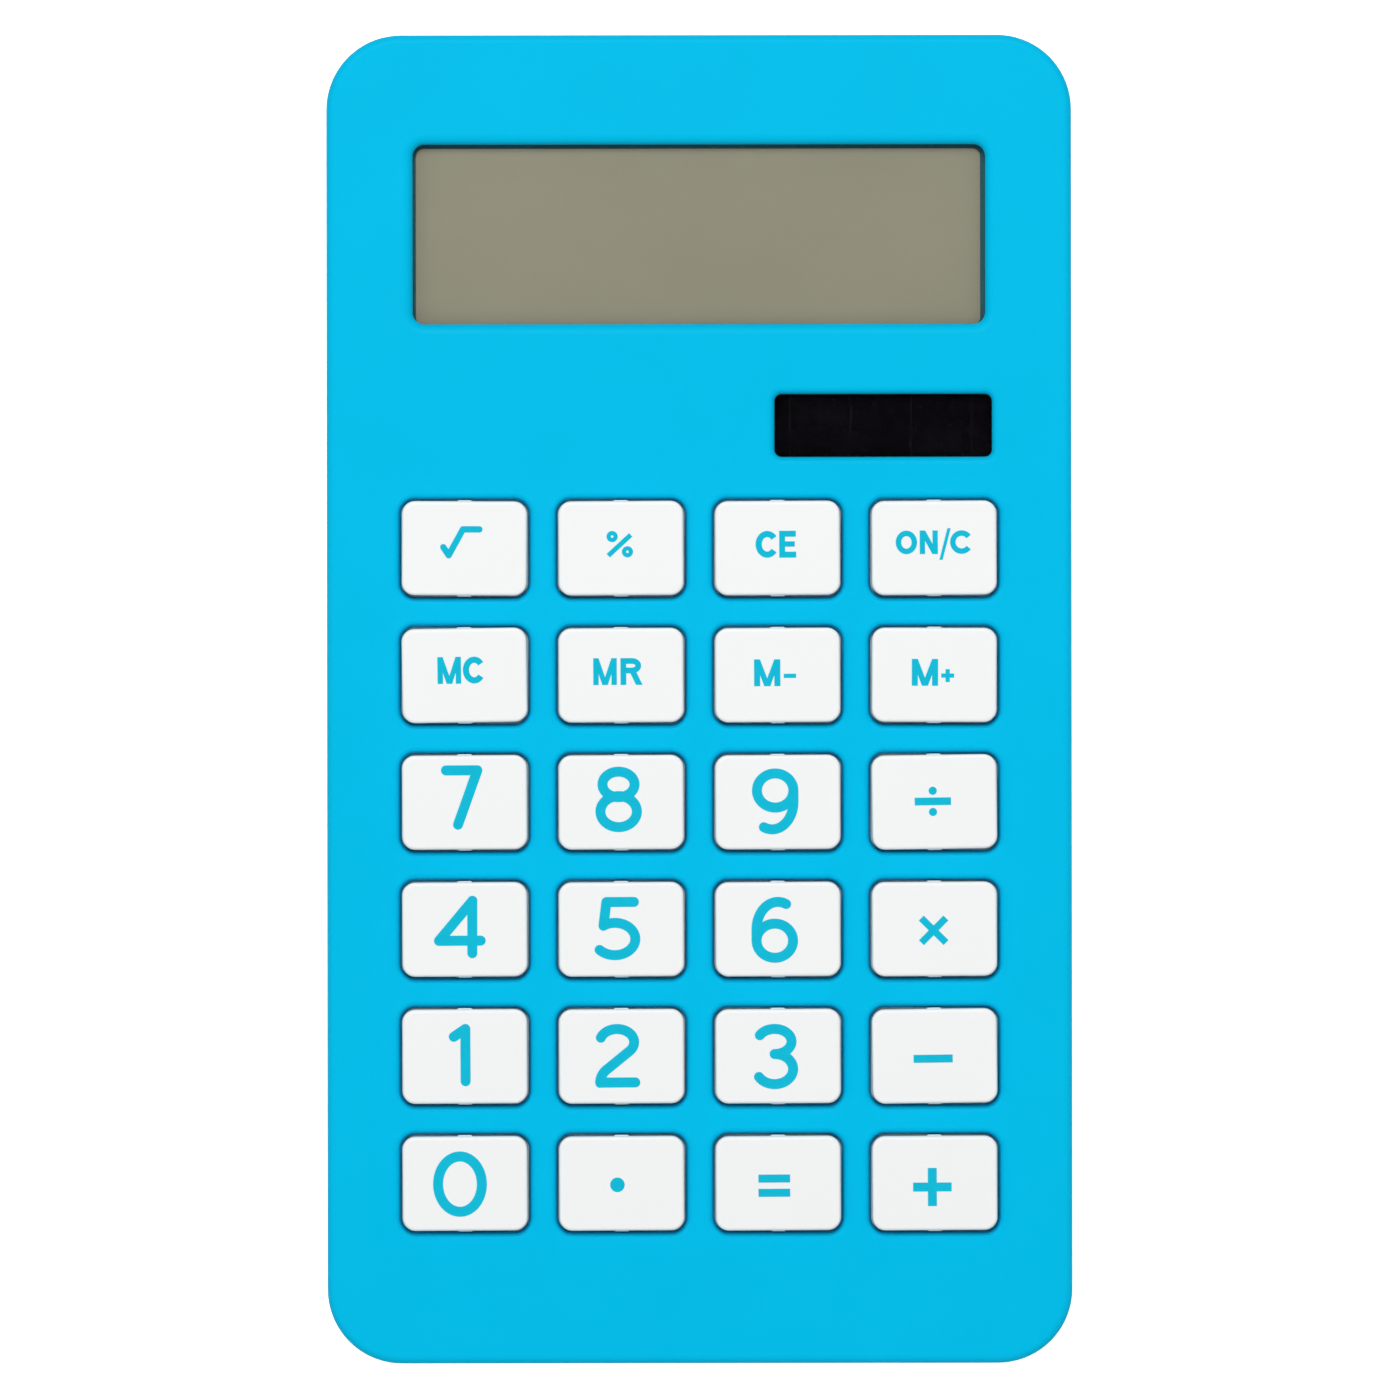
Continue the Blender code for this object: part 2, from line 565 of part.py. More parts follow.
def battery(steel, spring, plastic):
    x, y = BATTERY_CENTRE
    low, high = CELL_Z
    cap_z = high - 0.0006
    profile = (
        (CELL_RADIUS - GAP, low),
        (CELL_RADIUS, low + GAP),
        (CELL_RADIUS, cap_z - GAP),
        (CELL_RADIUS - GAP, cap_z),
        (CELL_CAP_RADIUS, cap_z),
        (CELL_CAP_RADIUS - GAP, high),
    )
    solid("button_cell", steel, turned(profile, 24, BATTERY_CENTRE))

    near = x - CELL_RADIUS - GAP
    far = near - CONTACT_THICKNESS
    foot = x - BOARD_NOTCH_RADIUS - 0.0030
    hook = [
        (near, BOARD_Z[0]),
        (near, ON_BOARD + CONTACT_THICKNESS),
        (foot, ON_BOARD + CONTACT_THICKNESS),
        (foot, ON_BOARD),
        (far, ON_BOARD),
        (far, BOARD_Z[0]),
    ]
    ends = (y - 0.0018, y + 0.0018)
    solid("battery_contact_positive", spring, [[(px, end, pz) for px, pz in hook] for end in ends])

    path = [
        (x + BOARD_NOTCH_RADIUS + 0.0032, ON_BOARD),
        (x + BOARD_NOTCH_RADIUS - 0.0006, ON_BOARD),
        (x + 0.0008, high + GAP),
        (x - 0.0008, high + GAP),
        (x - 0.0026, high + GAP + 0.0004),
    ]
    leaf = strip_outline(path, CONTACT_THICKNESS)
    ends = (y - 0.0014, y + 0.0014)
    solid("battery_contact_negative", spring, [[(px, end, pz) for px, pz in leaf] for end in ends])
    battery_door(plastic)


def battery_door(plastic):
    """Turned cup with a coin slot in its face, about its own turning axis."""
    slot = stacked(COIN_SLOT, COIN_SLOT[1] / 2.1, 7, [(0.0, CASE_BOTTOM + COIN_SLOT_DEPTH)])
    slot += stacked(COIN_SLOT, COIN_SLOT[1] / 2.1, 7, [(0.0, CASE_BOTTOM)])
    inner, outer = DOOR_CUP_RADII
    profile = (
        (DOOR_RADIUS - GAP, CASE_BOTTOM),
        (DOOR_RADIUS, CASE_BOTTOM + GAP),
        (DOOR_RADIUS, DOOR_PLATE_TOP),
        (outer, DOOR_PLATE_TOP),
        (outer, DOOR_CUP_TOP),
        (inner, DOOR_CUP_TOP),
        (inner, DOOR_PLATE_TOP),
    )
    door = solid("battery_door", plastic, slot + turned(profile, 32), (*BATTERY_CENTRE, 0.0))
    lugs = [sector(DOOR_LUG_RADII, a, DOOR_LUG_HALF_ANGLE, DOOR_LUG_Z) for a in (0.0, pi)]
    combine(door, "UNION", lugs, (*BATTERY_CENTRE, 0.0))


def cross(width, reach, z):
    """Twelve-point outline of a cross recess, starting on +X like circle() does."""
    arm = width / 2
    quarter = [(reach, arm), (arm, arm), (arm, reach)]
    points = []
    for turn in range(4):
        c, s = (1, 0, -1, 0)[turn], (0, 1, 0, -1)[turn]
        points += [(c * px - s * py, s * px + c * py, z) for px, py in quarter]
    return points


def screw_mesh(name, head, shank, head_z, tip, steel):
    """A pan-head screw pointing up, with a cross recess in the underside of its head."""
    low, high = head_z
    turn = radians(15)
    profile = ((head * 0.85, low), (head, low + GAP), (head, high), (shank, high))
    profile += ((shank, tip - shank), (shank / 4, tip))
    body = []
    for radius, z in profile:
        angles = [turn + 2 * pi * step / 12 for step in range(12)]
        body.append([(radius * cos(a), radius * sin(a), z) for a in angles])
    recess = [cross(head * 0.22, head * 0.4, low + (high - low) * 0.55)]
    recess.append(cross(head * 0.30, head * 0.62, low))
    mesh = lofted_mesh(name, [recess + body])
    mesh.materials.append(steel)
    return mesh


def screws(steel):
    groups = (
        ("case_screw", CASE_SCREW, four_corners(CASE_SCREW_CENTRE)),
        ("board_screw", BOARD_SCREW, board_screw_centres()),
        ("bracket_screw", TRAY_SCREW, tray_screw_centres()),
    )
    for kind, sizes, centres in groups:
        mesh = screw_mesh(kind, **sizes, steel=steel)
        for number, (x, y) in enumerate(centres, start=1):
            place(f"{kind}_{number}", mesh, (x, y, 0.0))


def feet(rubber):
    profile = (
        (FOOT_RADIUS - 2 * GAP, 0.0),
        (FOOT_RADIUS, 2 * GAP),
        (FOOT_RADIUS, FOOT_TOP),
    )
    mesh = lofted_mesh("foot", [turned(profile, 20)])
    mesh.materials.append(rubber)
    for number, (x, y) in enumerate(four_corners(FOOT_CENTRE), start=1):
        place(f"foot_{number}", mesh, (x, y, 0.0))


def clear_scene():
    for obj in list(bpy.data.objects):
        bpy.data.objects.remove(obj)


def build():
    clear_scene()
    origin = bpy.data.objects.new("calculator", None)
    bpy.context.scene.collection.objects.link(origin)
    cyan = material("cyan_case_plastic", (0.0, 0.527, 0.838), 0.45)
    white = material("white_key_plastic", (0.90, 0.91, 0.91), 0.35)
    clear = material("clear_window_plastic", (0.95, 0.97, 0.97), 0.05, alpha=0.25)
    olive = material("display_glass", (0.27, 0.26, 0.19), 0.25)
    steel = material("zinc_plated_steel", (0.62, 0.63, 0.65), 0.35, metallic=1.0)
    black = material("black_rubber", (0.02, 0.02, 0.02), 0.8)
    insulation = {
        "solar_wire_positive": material("red_insulation", (0.60, 0.03, 0.02), 0.4),
        "solar_wire_negative": material("black_insulation", (0.02, 0.02, 0.02), 0.4),
    }
    front_case(cyan)
    rear_case(cyan)
    keys(white)
    dome_sheet(material("grey_silicone", (0.55, 0.56, 0.57), 0.7))
    windows(clear)
    display_module(
        olive,
        material("reflector_film", (0.75, 0.75, 0.72), 0.25, metallic=0.8),
        material("natural_abs", (0.80, 0.79, 0.74), 0.5),
        material("carbon_foil", (0.70, 0.52, 0.26), 0.4),
    )
    circuit_board(material("board_laminate", (0.18, 0.30, 0.10), 0.5))
    board_components(
        material("epoxy", (0.01, 0.01, 0.01), 0.3),
        material("capacitor_sleeve", (0.03, 0.04, 0.12), 0.4),
        material("diode_glass", (0.55, 0.20, 0.08), 0.15),
    )
    solar_supply(
        material("solar_cell", (0.004, 0.003, 0.005), 0.2),
        material("grey_foam", (0.25, 0.25, 0.26), 0.9),
        insulation,
    )
    battery(steel, material("nickel_spring", (0.70, 0.68, 0.62), 0.3, metallic=1.0), cyan)
    screws(steel)
    feet(black)


build()
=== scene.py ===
"""Looks of the desk calculator: fine shells, keys, legends, windows, lid, screws and finishes.

Metres, +Z up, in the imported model's frame: the origin is the centre of the underside, +X is the
calculator's right and +Y points to the display end.
"""

from collections import Counter
from math import cos, hypot, pi, radians, sin

import bmesh
import bpy
from mathutils import Matrix, Vector
from mathutils.geometry import delaunay_2d_cdt


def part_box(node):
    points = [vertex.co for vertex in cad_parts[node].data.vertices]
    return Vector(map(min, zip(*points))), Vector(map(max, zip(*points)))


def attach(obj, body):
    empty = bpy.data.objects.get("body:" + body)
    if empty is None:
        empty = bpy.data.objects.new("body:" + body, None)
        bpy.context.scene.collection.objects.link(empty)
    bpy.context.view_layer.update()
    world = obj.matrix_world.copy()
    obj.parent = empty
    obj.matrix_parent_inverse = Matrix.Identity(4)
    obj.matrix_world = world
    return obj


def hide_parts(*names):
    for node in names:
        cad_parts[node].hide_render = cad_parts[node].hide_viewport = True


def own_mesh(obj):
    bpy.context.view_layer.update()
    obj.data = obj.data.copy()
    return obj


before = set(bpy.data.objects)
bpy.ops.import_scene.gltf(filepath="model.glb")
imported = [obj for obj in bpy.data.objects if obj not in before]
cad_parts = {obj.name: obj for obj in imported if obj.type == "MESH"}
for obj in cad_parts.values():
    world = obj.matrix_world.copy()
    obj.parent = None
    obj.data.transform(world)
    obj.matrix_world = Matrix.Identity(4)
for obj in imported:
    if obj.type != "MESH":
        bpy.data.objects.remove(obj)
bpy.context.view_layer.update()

MM = 0.001
GAP = 0.3 * MM  # between pieces that touch on the real object
OVERRUN = 0.5 * MM  # how far a cutter reaches past a surface
WELD = 0.001 * MM

# Sides of round shapes
SIDES = {
    "boss": 24, "counterbore": 40, "dome": 32, "door_hole": 72, "foot": 56, "foot_seat": 48,
    "lid": 64, "mark": 24, "pilot": 20, "post": 32, "screw": 24, "support": 16,
}

# Case
CASE_CORNER = 8.3 * MM
SIDE_WALL = 1.5 * MM
SIDE_DRAFT = 0.15 * MM
DECK_EDGE_RADIUS = 0.9 * MM
DECK_UNDERSIDE = 10.3 * MM
BOTTOM_EDGE_RADIUS = 2.2 * MM
FLOOR_TOP = 2.4 * MM
LIP_TOP = 6.7 * MM
LIP_FOOT = 3.9 * MM
LIP_THICKNESS = 0.8 * MM
CORNER_STEPS = 18
ROUND_STEPS = 8
EDGE_STEPS = 8
BEVEL_STEPS = 3
CREASE = radians(35)

# Keys; a key's yaw in degrees is what it adds to the keypad's own
KEY_SIZE = (13.67 * MM, 10.32 * MM)
KEY_CORNER = 1.4 * MM
KEY_EDGE_RADIUS = 0.36 * MM
KEY_WALL = 1.1 * MM
KEY_ROOF = 1.2 * MM
KEY_FLANGE = 0.9 * MM
KEY_FLANGE_TOP = 10.0 * MM
KEY_STEM = 3.2 * MM
STEM_CORNER = KEY_STEM / 5
NIB_SIZE = (1.6 * MM, 0.12 * MM)
NIB_CORNER = NIB_SIZE[1] * 1.2
NIB_Z = (10.3 * MM, 12.2 * MM)
APERTURE_GAP = 0.13 * MM
APERTURE_DRAFT = 0.25 * MM
APERTURE_LIP = (0.56 * MM, 0.45 * MM)
KEYPAD_YAW = 0.28
KEY_YAWS = {
    "key_sqrt": -0.6, "key_mc": 0.55, "key_m_plus": -0.5, "key_divide": 0.5, "key_minus": 0.4,
}

# Windows; a lip is the width and the depth of the rounding at an opening's mouth
WINDOW_SHELF_Z = 10.85 * MM
WINDOW_MARGIN = 1.5 * MM
WINDOW_BEVEL = 0.12 * MM
SOLAR_BEVEL = 0.1 * MM
DISPLAY_CORNER = 1.3 * MM
DISPLAY_LIP = (1.15 * MM, 0.95 * MM)
SOLAR_CORNER = 0.8 * MM
SOLAR_LIP = (0.8 * MM, 0.8 * MM)

# Display; the film's inset and outset are from the opening's edges. Where the film stops short of
# the opening, the teal plates below show as a thin border: partly the cell's sealant, partly
# painted shade along the opening's edge
POLARISER_THICKNESS = 0.22 * MM
POLARISER_WIDTH = 61.95 * MM
POLARISER_SHIFT = -0.09 * MM
POLARISER_TOP_INSET = 0.42 * MM
POLARISER_FOOT_OUTSET = 0.1 * MM
POLARISER_CORNER = 0.9 * MM
LCD_LEDGE = 1.4 * MM

# Dome sheet
DOME_BASE_RADIUS = 4.2 * MM
DOME_TOP_RADIUS = 2.4 * MM
DOME_EDGE = 0.3 * MM
DOME_SKIN = 0.6 * MM
WEB_TOP = 6.9 * MM
WEB_CORNER = 1.0 * MM

# Battery door, its stops and the marks beside it
DOOR_PLATE_TOP = 2.2 * MM
DOOR_CUP_RADII = (6.15 * MM, 6.8 * MM)
DOOR_RADIUS = 7.5 * MM
DOOR_GROOVE = (1.3 * MM, 0.9 * MM)
DOOR_LUG_RADII = (6.4 * MM, 8.9 * MM)
DOOR_LUG_Z = (2.7 * MM, 3.5 * MM)
DOOR_LUG_HALF_ANGLE = radians(14)
DOOR_TURN = radians(45)
DOOR_NOTCH_HALF_ANGLE = radians(18)
DOOR_STOP_HALF_ANGLE = radians(3)
DOOR_STOP_ANGLE = DOOR_NOTCH_HALF_ANGLE + 1.2 * DOOR_STOP_HALF_ANGLE
SECTOR_STEPS = 6
COIN_SLOT = (9.5 * MM, 1.6 * MM)
COIN_SLOT_CORNER = COIN_SLOT[1] / 2.1
COIN_SLOT_DEPTH = 0.7 * MM
POINTER_INSET = 1.6 * MM
POINTER_SIZE = (2.0 * MM, 1.7 * MM)
MARK_DISTANCE = 10.0 * MM
MARK_RADIUS = 0.6 * MM
MARK_CORE = 0.35 * MM
MARK_DEPTH = 0.15 * MM

# Screws, posts and feet
CASE_BOSS_RADIUS = 2.3 * MM
SMALL_BOSS_RADIUS = 1.8 * MM
PILOT_TOP = 9.8 * MM
POST_RADIUS = 3.2 * MM
POST_TOP = 4.2 * MM
SUPPORT_RADIUS = 1.5 * MM
COUNTERBORE_TOP = 2.8 * MM
CASE_SCREW = {"head": 1.9 * MM, "shank": 1.0 * MM, "head_z": (1.2 * MM, 2.5 * MM), "tip": 8.5 * MM}
SCREW_STOP_ANGLE = radians(23)  # from one screw's to the next one's
RECESS_FLOOR = (0.20, 0.34)  # width and reach of the cross, in radii of the head
RECESS_MOUTH = (0.34, 0.66)
RECESS_DEPTH = 0.6  # in heights of the head
CROWN_ANGLES = (0, pi / 6, pi / 3, pi / 2)
CROWN_DROP = 0.15
HEAD_FLAT = 0.8
THREAD_TURNS = 14
THREAD = ((0.25, 0.8), (0.6, 1.0), (0.95, 0.8))  # (part of a turn, part of the shank's radius)
SMALL_SHANK = 0.8 * MM
BOARD_TOP = 6.1 * MM
TRAY_FLOOR_TOP = 6.95 * MM
LABEL_SIZE = (40.0 * MM, 22.0 * MM)
LABEL_CENTRE = (0.0, -10.0 * MM)
LABEL_DEPTH = 0.2 * MM
FOOT_RIM_RADIUS = 0.5 * MM
FOOT_RIM_STEPS = 5
FOOT_GROOVE_DEPTH = 0.12 * MM
FOOT_FACE = ((0.45, 1), (0.47, 0), (0.62, 0), (0.64, 1), (0.70, 1), (0.72, 0))  # radius, sunk

# Legends; pens and shifts are in millimetres
PEN = 1.1
PEN_SIDES = 20
OUTLINE_TOLERANCE = 1e-5
LEGEND_TOP = 0.025 * MM
LEGEND_SINK = 0.02 * MM
COLUMN_SHIFTS = (-0.45, -0.35, -0.3, -0.1)
UPPER_ROWS = 4
UPPER_ROW_SHIFT = 0.4

# Brushed metal
BRUSH_STRETCH = 0.08
BRUSH_GRAIN = 0.12 * MM

# Studio; a lamp is (azimuth, tilt, strength, width across the sky), with its angles in degrees
CAMERA_HEIGHT = 1.5
CAMERA_CLIP = 0.01
CAMERA_OFFSET = (0.07 * MM, -0.1 * MM)
CAMERA_ROLL = -0.07
FRAME_WIDTH = 153.9 * MM
FRAME_Z = 8.0 * MM
SENSOR_WIDTH = 36.0
ROOM_LEVEL = 0.5
LAMP_DISTANCE = 1.2
MAIN_LIGHT = (-5, 26, 1.66)
MAIN_LIGHT_SIZE = 0.6
LAMPS = {
    "right_fill": (80, 38, 0.51, 45),
    "left_fill": (-95, 38, 0.61, 45),
    "front_fill": (180, 38, 0.43, 45),
    "under_fill": (0, 180, 1.1, 90),
}
FLOOR_RADIUS = 6.0
FLOOR_SIDES = 96
FLOOR_SHADES = (0.925, 0.945)
FLOOR_GLOW = 0.75


# ---- outlines and meshes


def ring(outline, z):
    return [(x, y, z) for x, y in outline]


def polar(centre, radius, angle):
    return (centre[0] + radius * cos(angle), centre[1] + radius * sin(angle))


def rounded_rectangle(size, radius, steps, centre):
    """Outline points, anticlockwise seen from above."""
    points = []
    for quarter, (side_x, side_y) in enumerate(((1, 1), (-1, 1), (-1, -1), (1, -1))):
        corner_x = centre[0] + side_x * (size[0] / 2 - radius)
        corner_y = centre[1] + side_y * (size[1] / 2 - radius)
        for step in range(steps + 1):
            angle = (quarter + step / steps) * pi / 2
            points.append(polar((corner_x, corner_y), radius, angle))
    return points


def stacked(size, corner, levels, centre=(0.0, 0.0), steps=ROUND_STEPS):
    """Rings of one rounded rectangle, grown or shrunk by each level's (outset, z)."""
    rings = []
    for outset, z in levels:
        grown = (size[0] + 2 * outset, size[1] + 2 * outset)
        rings.append(ring(rounded_rectangle(grown, corner + outset, steps, centre), z))
    return rings


def circle(radius, steps, centre):
    return [polar(centre, radius, 2 * pi * step / steps) for step in range(steps)]


def turned(profile, steps, centre):
    """Rings of a body of revolution about a vertical axis, from (radius, z) pairs."""
    return [ring(circle(radius, steps, centre), z) for radius, z in profile]


def upright(kind, radius, heights, centre):
    """Rings of a plain round post or hole."""
    return turned([(radius, z) for z in heights], SIDES[kind], centre)


def sector(radii, middle, half_angle, heights, centre):
    """Rings of a curved block about a centre, between two radii and two heights."""
    steps = SECTOR_STEPS
    angles = [middle + half_angle * (2 * step / steps - 1) for step in range(steps + 1)]
    outline = []
    for radius, way in ((radii[1], 1), (radii[0], -1)):
        outline += [polar(centre, radius, angle) for angle in angles[::way]]
    return [ring(outline, z) for z in heights]


def rounded_edge(radius, outset, z, steps):
    """(outset, z) levels over a rounded upper edge, from its side to its top."""
    angles = [step / steps * pi / 2 for step in range(steps + 1)]
    return [(outset - radius * (1 - cos(a)), z - radius * (1 - sin(a))) for a in angles]


def upside_down(profile, z):
    """The same (outset, height) pairs mirrored in the plane at half of z."""
    return [(outset, z - height) for outset, height in profile]


def creased(mesh):
    mesh.shade_smooth()
    mesh.set_sharp_from_angle(angle=CREASE)
    return mesh


def mesh_from(bm, name):
    mesh = bpy.data.meshes.new(name)
    bm.to_mesh(mesh)
    bm.free()
    return mesh


def linked(name, data):
    obj = bpy.data.objects.new(name, data)
    bpy.context.scene.collection.objects.link(obj)
    return obj


def lofted_mesh(name, solids):
    """A mesh of closed bodies, each skinned over rings of equal length and capped at its ends."""
    bm = bmesh.new()
    for rings in solids:
        rows = [[bm.verts.new(point) for point in points] for points in rings]
        for low, high in zip(rows, rows[1:]):
            for i, start in enumerate(low):
                j = (i + 1) % len(low)
                bm.faces.new((start, low[j], high[j], high[i]))
        bm.faces.new(rows[0][::-1])
        bm.faces.new(rows[-1])
    bmesh.ops.recalc_face_normals(bm, faces=bm.faces)
    return creased(mesh_from(bm, name))


def anticlockwise(polygon):
    area = sum(a[0] * b[1] - b[0] * a[1] for a, b in zip(polygon, [*polygon[1:], polygon[0]]))
    return polygon if area > 0 else polygon[::-1]


def sheet_of(name, polygons, low_z, high_z):
    """A flat solid whose outline is the union of overlapping polygons, given in millimetres."""
    polygons = [anticlockwise(polygon) for polygon in polygons]
    points = [Vector(point) for polygon in polygons for point in polygon]
    faces = []
    for polygon in polygons:
        start = faces[-1][-1] + 1 if faces else 0
        faces.append(list(range(start, start + len(polygon))))
    spots, _, triangles, _, _, sources = delaunay_2d_cdt(points, [], faces, 0, OUTLINE_TOLERANCE)
    kept = [triangle for triangle, source in zip(triangles, sources) if source]
    borders = Counter((t[i], t[(i + 1) % 3]) for t in kept for i in range(3))
    bm = bmesh.new()
    low = [bm.verts.new((x * MM, y * MM, low_z)) for x, y in spots]
    high = [bm.verts.new((x * MM, y * MM, high_z)) for x, y in spots]
    for a, b, c in kept:
        bm.faces.new((high[a], high[b], high[c]))
        bm.faces.new((low[c], low[b], low[a]))
    for a, b in borders:
        if (b, a) not in borders:
            bm.faces.new((low[a], low[b], high[b], high[a]))
    bmesh.ops.delete(bm, geom=[v for v in bm.verts if not v.link_faces], context="VERTS")
    bmesh.ops.recalc_face_normals(bm, faces=bm.faces)
    return creased(mesh_from(bm, name))


def place(name, mesh, finish):
    mesh.materials.clear()
    mesh.materials.append(finish)
    return linked(name, mesh)


def solid(name, finish, rings):
    return place(name, lofted_mesh(name, [rings]), finish)


def combine(target, operation, solids):
    """Adds or cuts closed bodies that don't meet each other."""
    name = target.name + "_tool"
    tool = linked(name, lofted_mesh(name, solids))
    modifier = target.modifiers.new(name, "BOOLEAN")
    modifier.operation = operation
    modifier.object = tool
    modifier.solver = "EXACT"
    graph = bpy.context.evaluated_depsgraph_get()
    made = bpy.data.meshes.new_from_object(target.evaluated_get(graph))
    target.modifiers.clear()
    bm = bmesh.new()
    bm.from_mesh(made)
    bmesh.ops.remove_doubles(bm, verts=bm.verts, dist=WELD)
    bm.to_mesh(made)
    bm.free()
    target.data = creased(made)
    bpy.data.objects.remove(tool)


def even_shading(obj):
    """Large flat faces keep one normal, so that a fillet's shading doesn't spread over them."""
    weighted = obj.modifiers.new("even_shading", "WEIGHTED_NORMAL")
    weighted.keep_sharp = True
    return obj


def mount(obj, body, slot, *nodes):
    """The piece rides on a body and stands for CAD nodes, which it hides; its slot is not used."""
    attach(obj, body)
    if nodes:
        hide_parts(*nodes)
    return obj


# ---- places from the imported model


def centre_of(node):
    low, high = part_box(node)
    return ((low.x + high.x) / 2, (low.y + high.y) / 2)


def size_of(node, margin=0.0):
    low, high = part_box(node)
    return (high.x - low.x - 2 * margin, high.y - low.y - 2 * margin)


def centres_of(kind):
    """Centres of numbered pieces such as foot_1, foot_2 and so on."""
    return [centre_of(node) for node in sorted(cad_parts) if node.startswith(kind + "_")]


KEY_NODES = sorted(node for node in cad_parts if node.startswith("key_"))
CASE_SIZE = size_of("rear_case")
CASE_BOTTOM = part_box("rear_case")[0].z
DECK_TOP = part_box("front_case")[1].z
RIM_Z = (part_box("front_case")[0].z - GAP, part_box("front_case")[0].z)
KEY_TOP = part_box("key_0")[1].z
KEY_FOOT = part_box("key_0")[0].z
DISPLAY_CENTRE = centre_of("display_window")
DISPLAY_SIZE = size_of("display_window", WINDOW_MARGIN - GAP)
SOLAR_CENTRE = centre_of("solar_window")
SOLAR_SIZE = size_of("solar_window", WINDOW_MARGIN - GAP)
DOOR_CENTRE = centre_of("battery_door")
COLUMNS = sorted({round(centre_of(node)[0], 4) for node in KEY_NODES})
ROWS = sorted({centre_of(node)[1] for node in KEY_NODES}, reverse=True)


# ---- materials


def link(source, target):
    source.id_data.links.new(source, target)


def new_material(name, colour, roughness, **sockets):
    """A Principled material with plain values. Returns it with its shader."""
    made = bpy.data.materials.new(name)
    made.use_nodes = True
    shader = made.node_tree.nodes["Principled BSDF"]
    shader.inputs["Base Color"].default_value = (*colour, 1.0)
    shader.inputs["Roughness"].default_value = roughness
    for socket, value in sockets.items():
        shader.inputs[socket.replace("_", " ")].default_value = value
    return made, shader


def object_coordinates(shader, scale=(1.0, 1.0, 1.0)):
    nodes = shader.id_data.nodes
    source = nodes.new("ShaderNodeTexCoord")
    mapping = nodes.new("ShaderNodeMapping")
    mapping.inputs["Scale"].default_value = scale
    link(source.outputs["Object"], mapping.inputs["Vector"])
    return mapping.outputs["Vector"]


def noise(where, grain, detail=3.0):
    """A noise pattern whose blotches are about one grain across."""
    node = where.id_data.nodes.new("ShaderNodeTexNoise")
    node.inputs["Scale"].default_value = 1.0 / grain
    node.inputs["Detail"].default_value = detail
    link(where, node.inputs["Vector"])
    return node.outputs["Fac"]


def spread(factor, low=0.0, high=1.0, start=0.3, end=0.7):
    """The factor's range from start to end, turned into low to high."""
    node = factor.id_data.nodes.new("ShaderNodeMapRange")
    node.inputs["From Min"].default_value = start
    node.inputs["From Max"].default_value = end
    node.inputs["To Min"].default_value = low
    node.inputs["To Max"].default_value = high
    link(factor, node.inputs["Value"])
    return node.outputs["Result"]


def blended(factor, first, second):
    """A mix of two colours, or of a pattern's colour and a plain one."""
    node = factor.id_data.nodes.new("ShaderNodeMix")
    node.data_type = "RGBA"
    link(factor, node.inputs["Factor"])
    for socket, colour in ((node.inputs[6], first), (node.inputs[7], second)):
        if isinstance(colour, bpy.types.NodeSocket):
            link(colour, socket)
        else:
            socket.default_value = (*colour, 1.0)
    return node.outputs[2]


def paint(shader, colour):
    link(colour, shader.inputs["Base Color"])


def tinted(colour, factor):
    return tuple(min(1.0, channel * factor) for channel in colour)


def bumped(shader, height, depth):
    node = shader.id_data.nodes.new("ShaderNodeBump")
    node.inputs["Distance"].default_value = depth
    node.inputs["Strength"].default_value = 1.0
    link(height, node.inputs["Height"])
    link(node.outputs["Normal"], shader.inputs["Normal"])


def moulded(
    name, colour, roughness, grain, depth,
    variation=0.03, blotch=12.0, gloss_spread=0.05, **sockets,
):
    """Moulded or cast: blotches of shade and gloss over a fine texture. Lengths in millimetres."""
    made, shader = new_material(name, colour, roughness, **sockets)
    where = object_coordinates(shader)
    shade = spread(noise(where, blotch * MM))
    shades = (tinted(colour, 1 - variation), tinted(colour, 1 + variation))
    paint(shader, blended(shade, *shades))
    patches = noise(where, blotch * MM / 3)
    gloss = spread(patches, roughness - gloss_spread, roughness + gloss_spread)
    link(gloss, shader.inputs["Roughness"])
    bumped(shader, noise(where, grain * MM, 2.0), depth * MM)
    return made


def brushed(name, colour, roughness, along):
    """Metal with fine drawn lines along one axis."""
    made, shader = new_material(name, colour, roughness, Metallic=1.0)
    stretch = tuple(BRUSH_STRETCH if axis == along else 1.0 for axis in "XYZ")
    lines = noise(object_coordinates(shader, stretch), BRUSH_GRAIN, 4.0)
    shades = (tinted(colour, 0.85), tinted(colour, 1.1))
    paint(shader, blended(lines, *shades))
    gloss = spread(lines, roughness - 0.08, roughness + 0.12)
    link(gloss, shader.inputs["Roughness"])
    bumped(shader, lines, 0.004 * MM)
    return made


def striped(where, direction, pitch):
    """Even bands across one axis, from 0 to 1 and back over each pitch."""
    node = where.id_data.nodes.new("ShaderNodeTexWave")
    node.bands_direction = direction
    node.wave_profile = "SIN"
    node.inputs["Scale"].default_value = pi / 10 / pitch
    link(where, node.inputs["Vector"])
    return node.outputs["Fac"]


def clear_plastic():
    """Clear acrylic with a hard-coat and the faintest handling marks."""
    made, shader = new_material(
        "clear_acrylic", (0.97, 0.985, 0.98), 0.03, IOR=1.49, Transmission_Weight=1.0
    )
    marks = noise(object_coordinates(shader, (1.0, 3.0, 1.0)), 9 * MM, 5.0)
    link(spread(marks, 0.02, 0.07), shader.inputs["Roughness"])
    return made


def display_glass():
    """Unlit reflective display: olive grey, with faint clouds and a fine cell texture."""
    colour = (0.272, 0.254, 0.179)
    made, shader = new_material("display_glass", colour, 0.3, Specular_IOR_Level=0.25)
    where = object_coordinates(shader)
    cloud = spread(noise(where, 22 * MM, 2.0))
    grain = noise(where, 0.35 * MM, 1.0)
    base = blended(cloud, tinted(colour, 0.975), tinted(colour, 1.02))
    fine = blended(spread(grain, 0.0, 0.12), base, tinted(colour, 0.8))
    paint(shader, fine)
    bumped(shader, grain, 0.002 * MM)
    return made


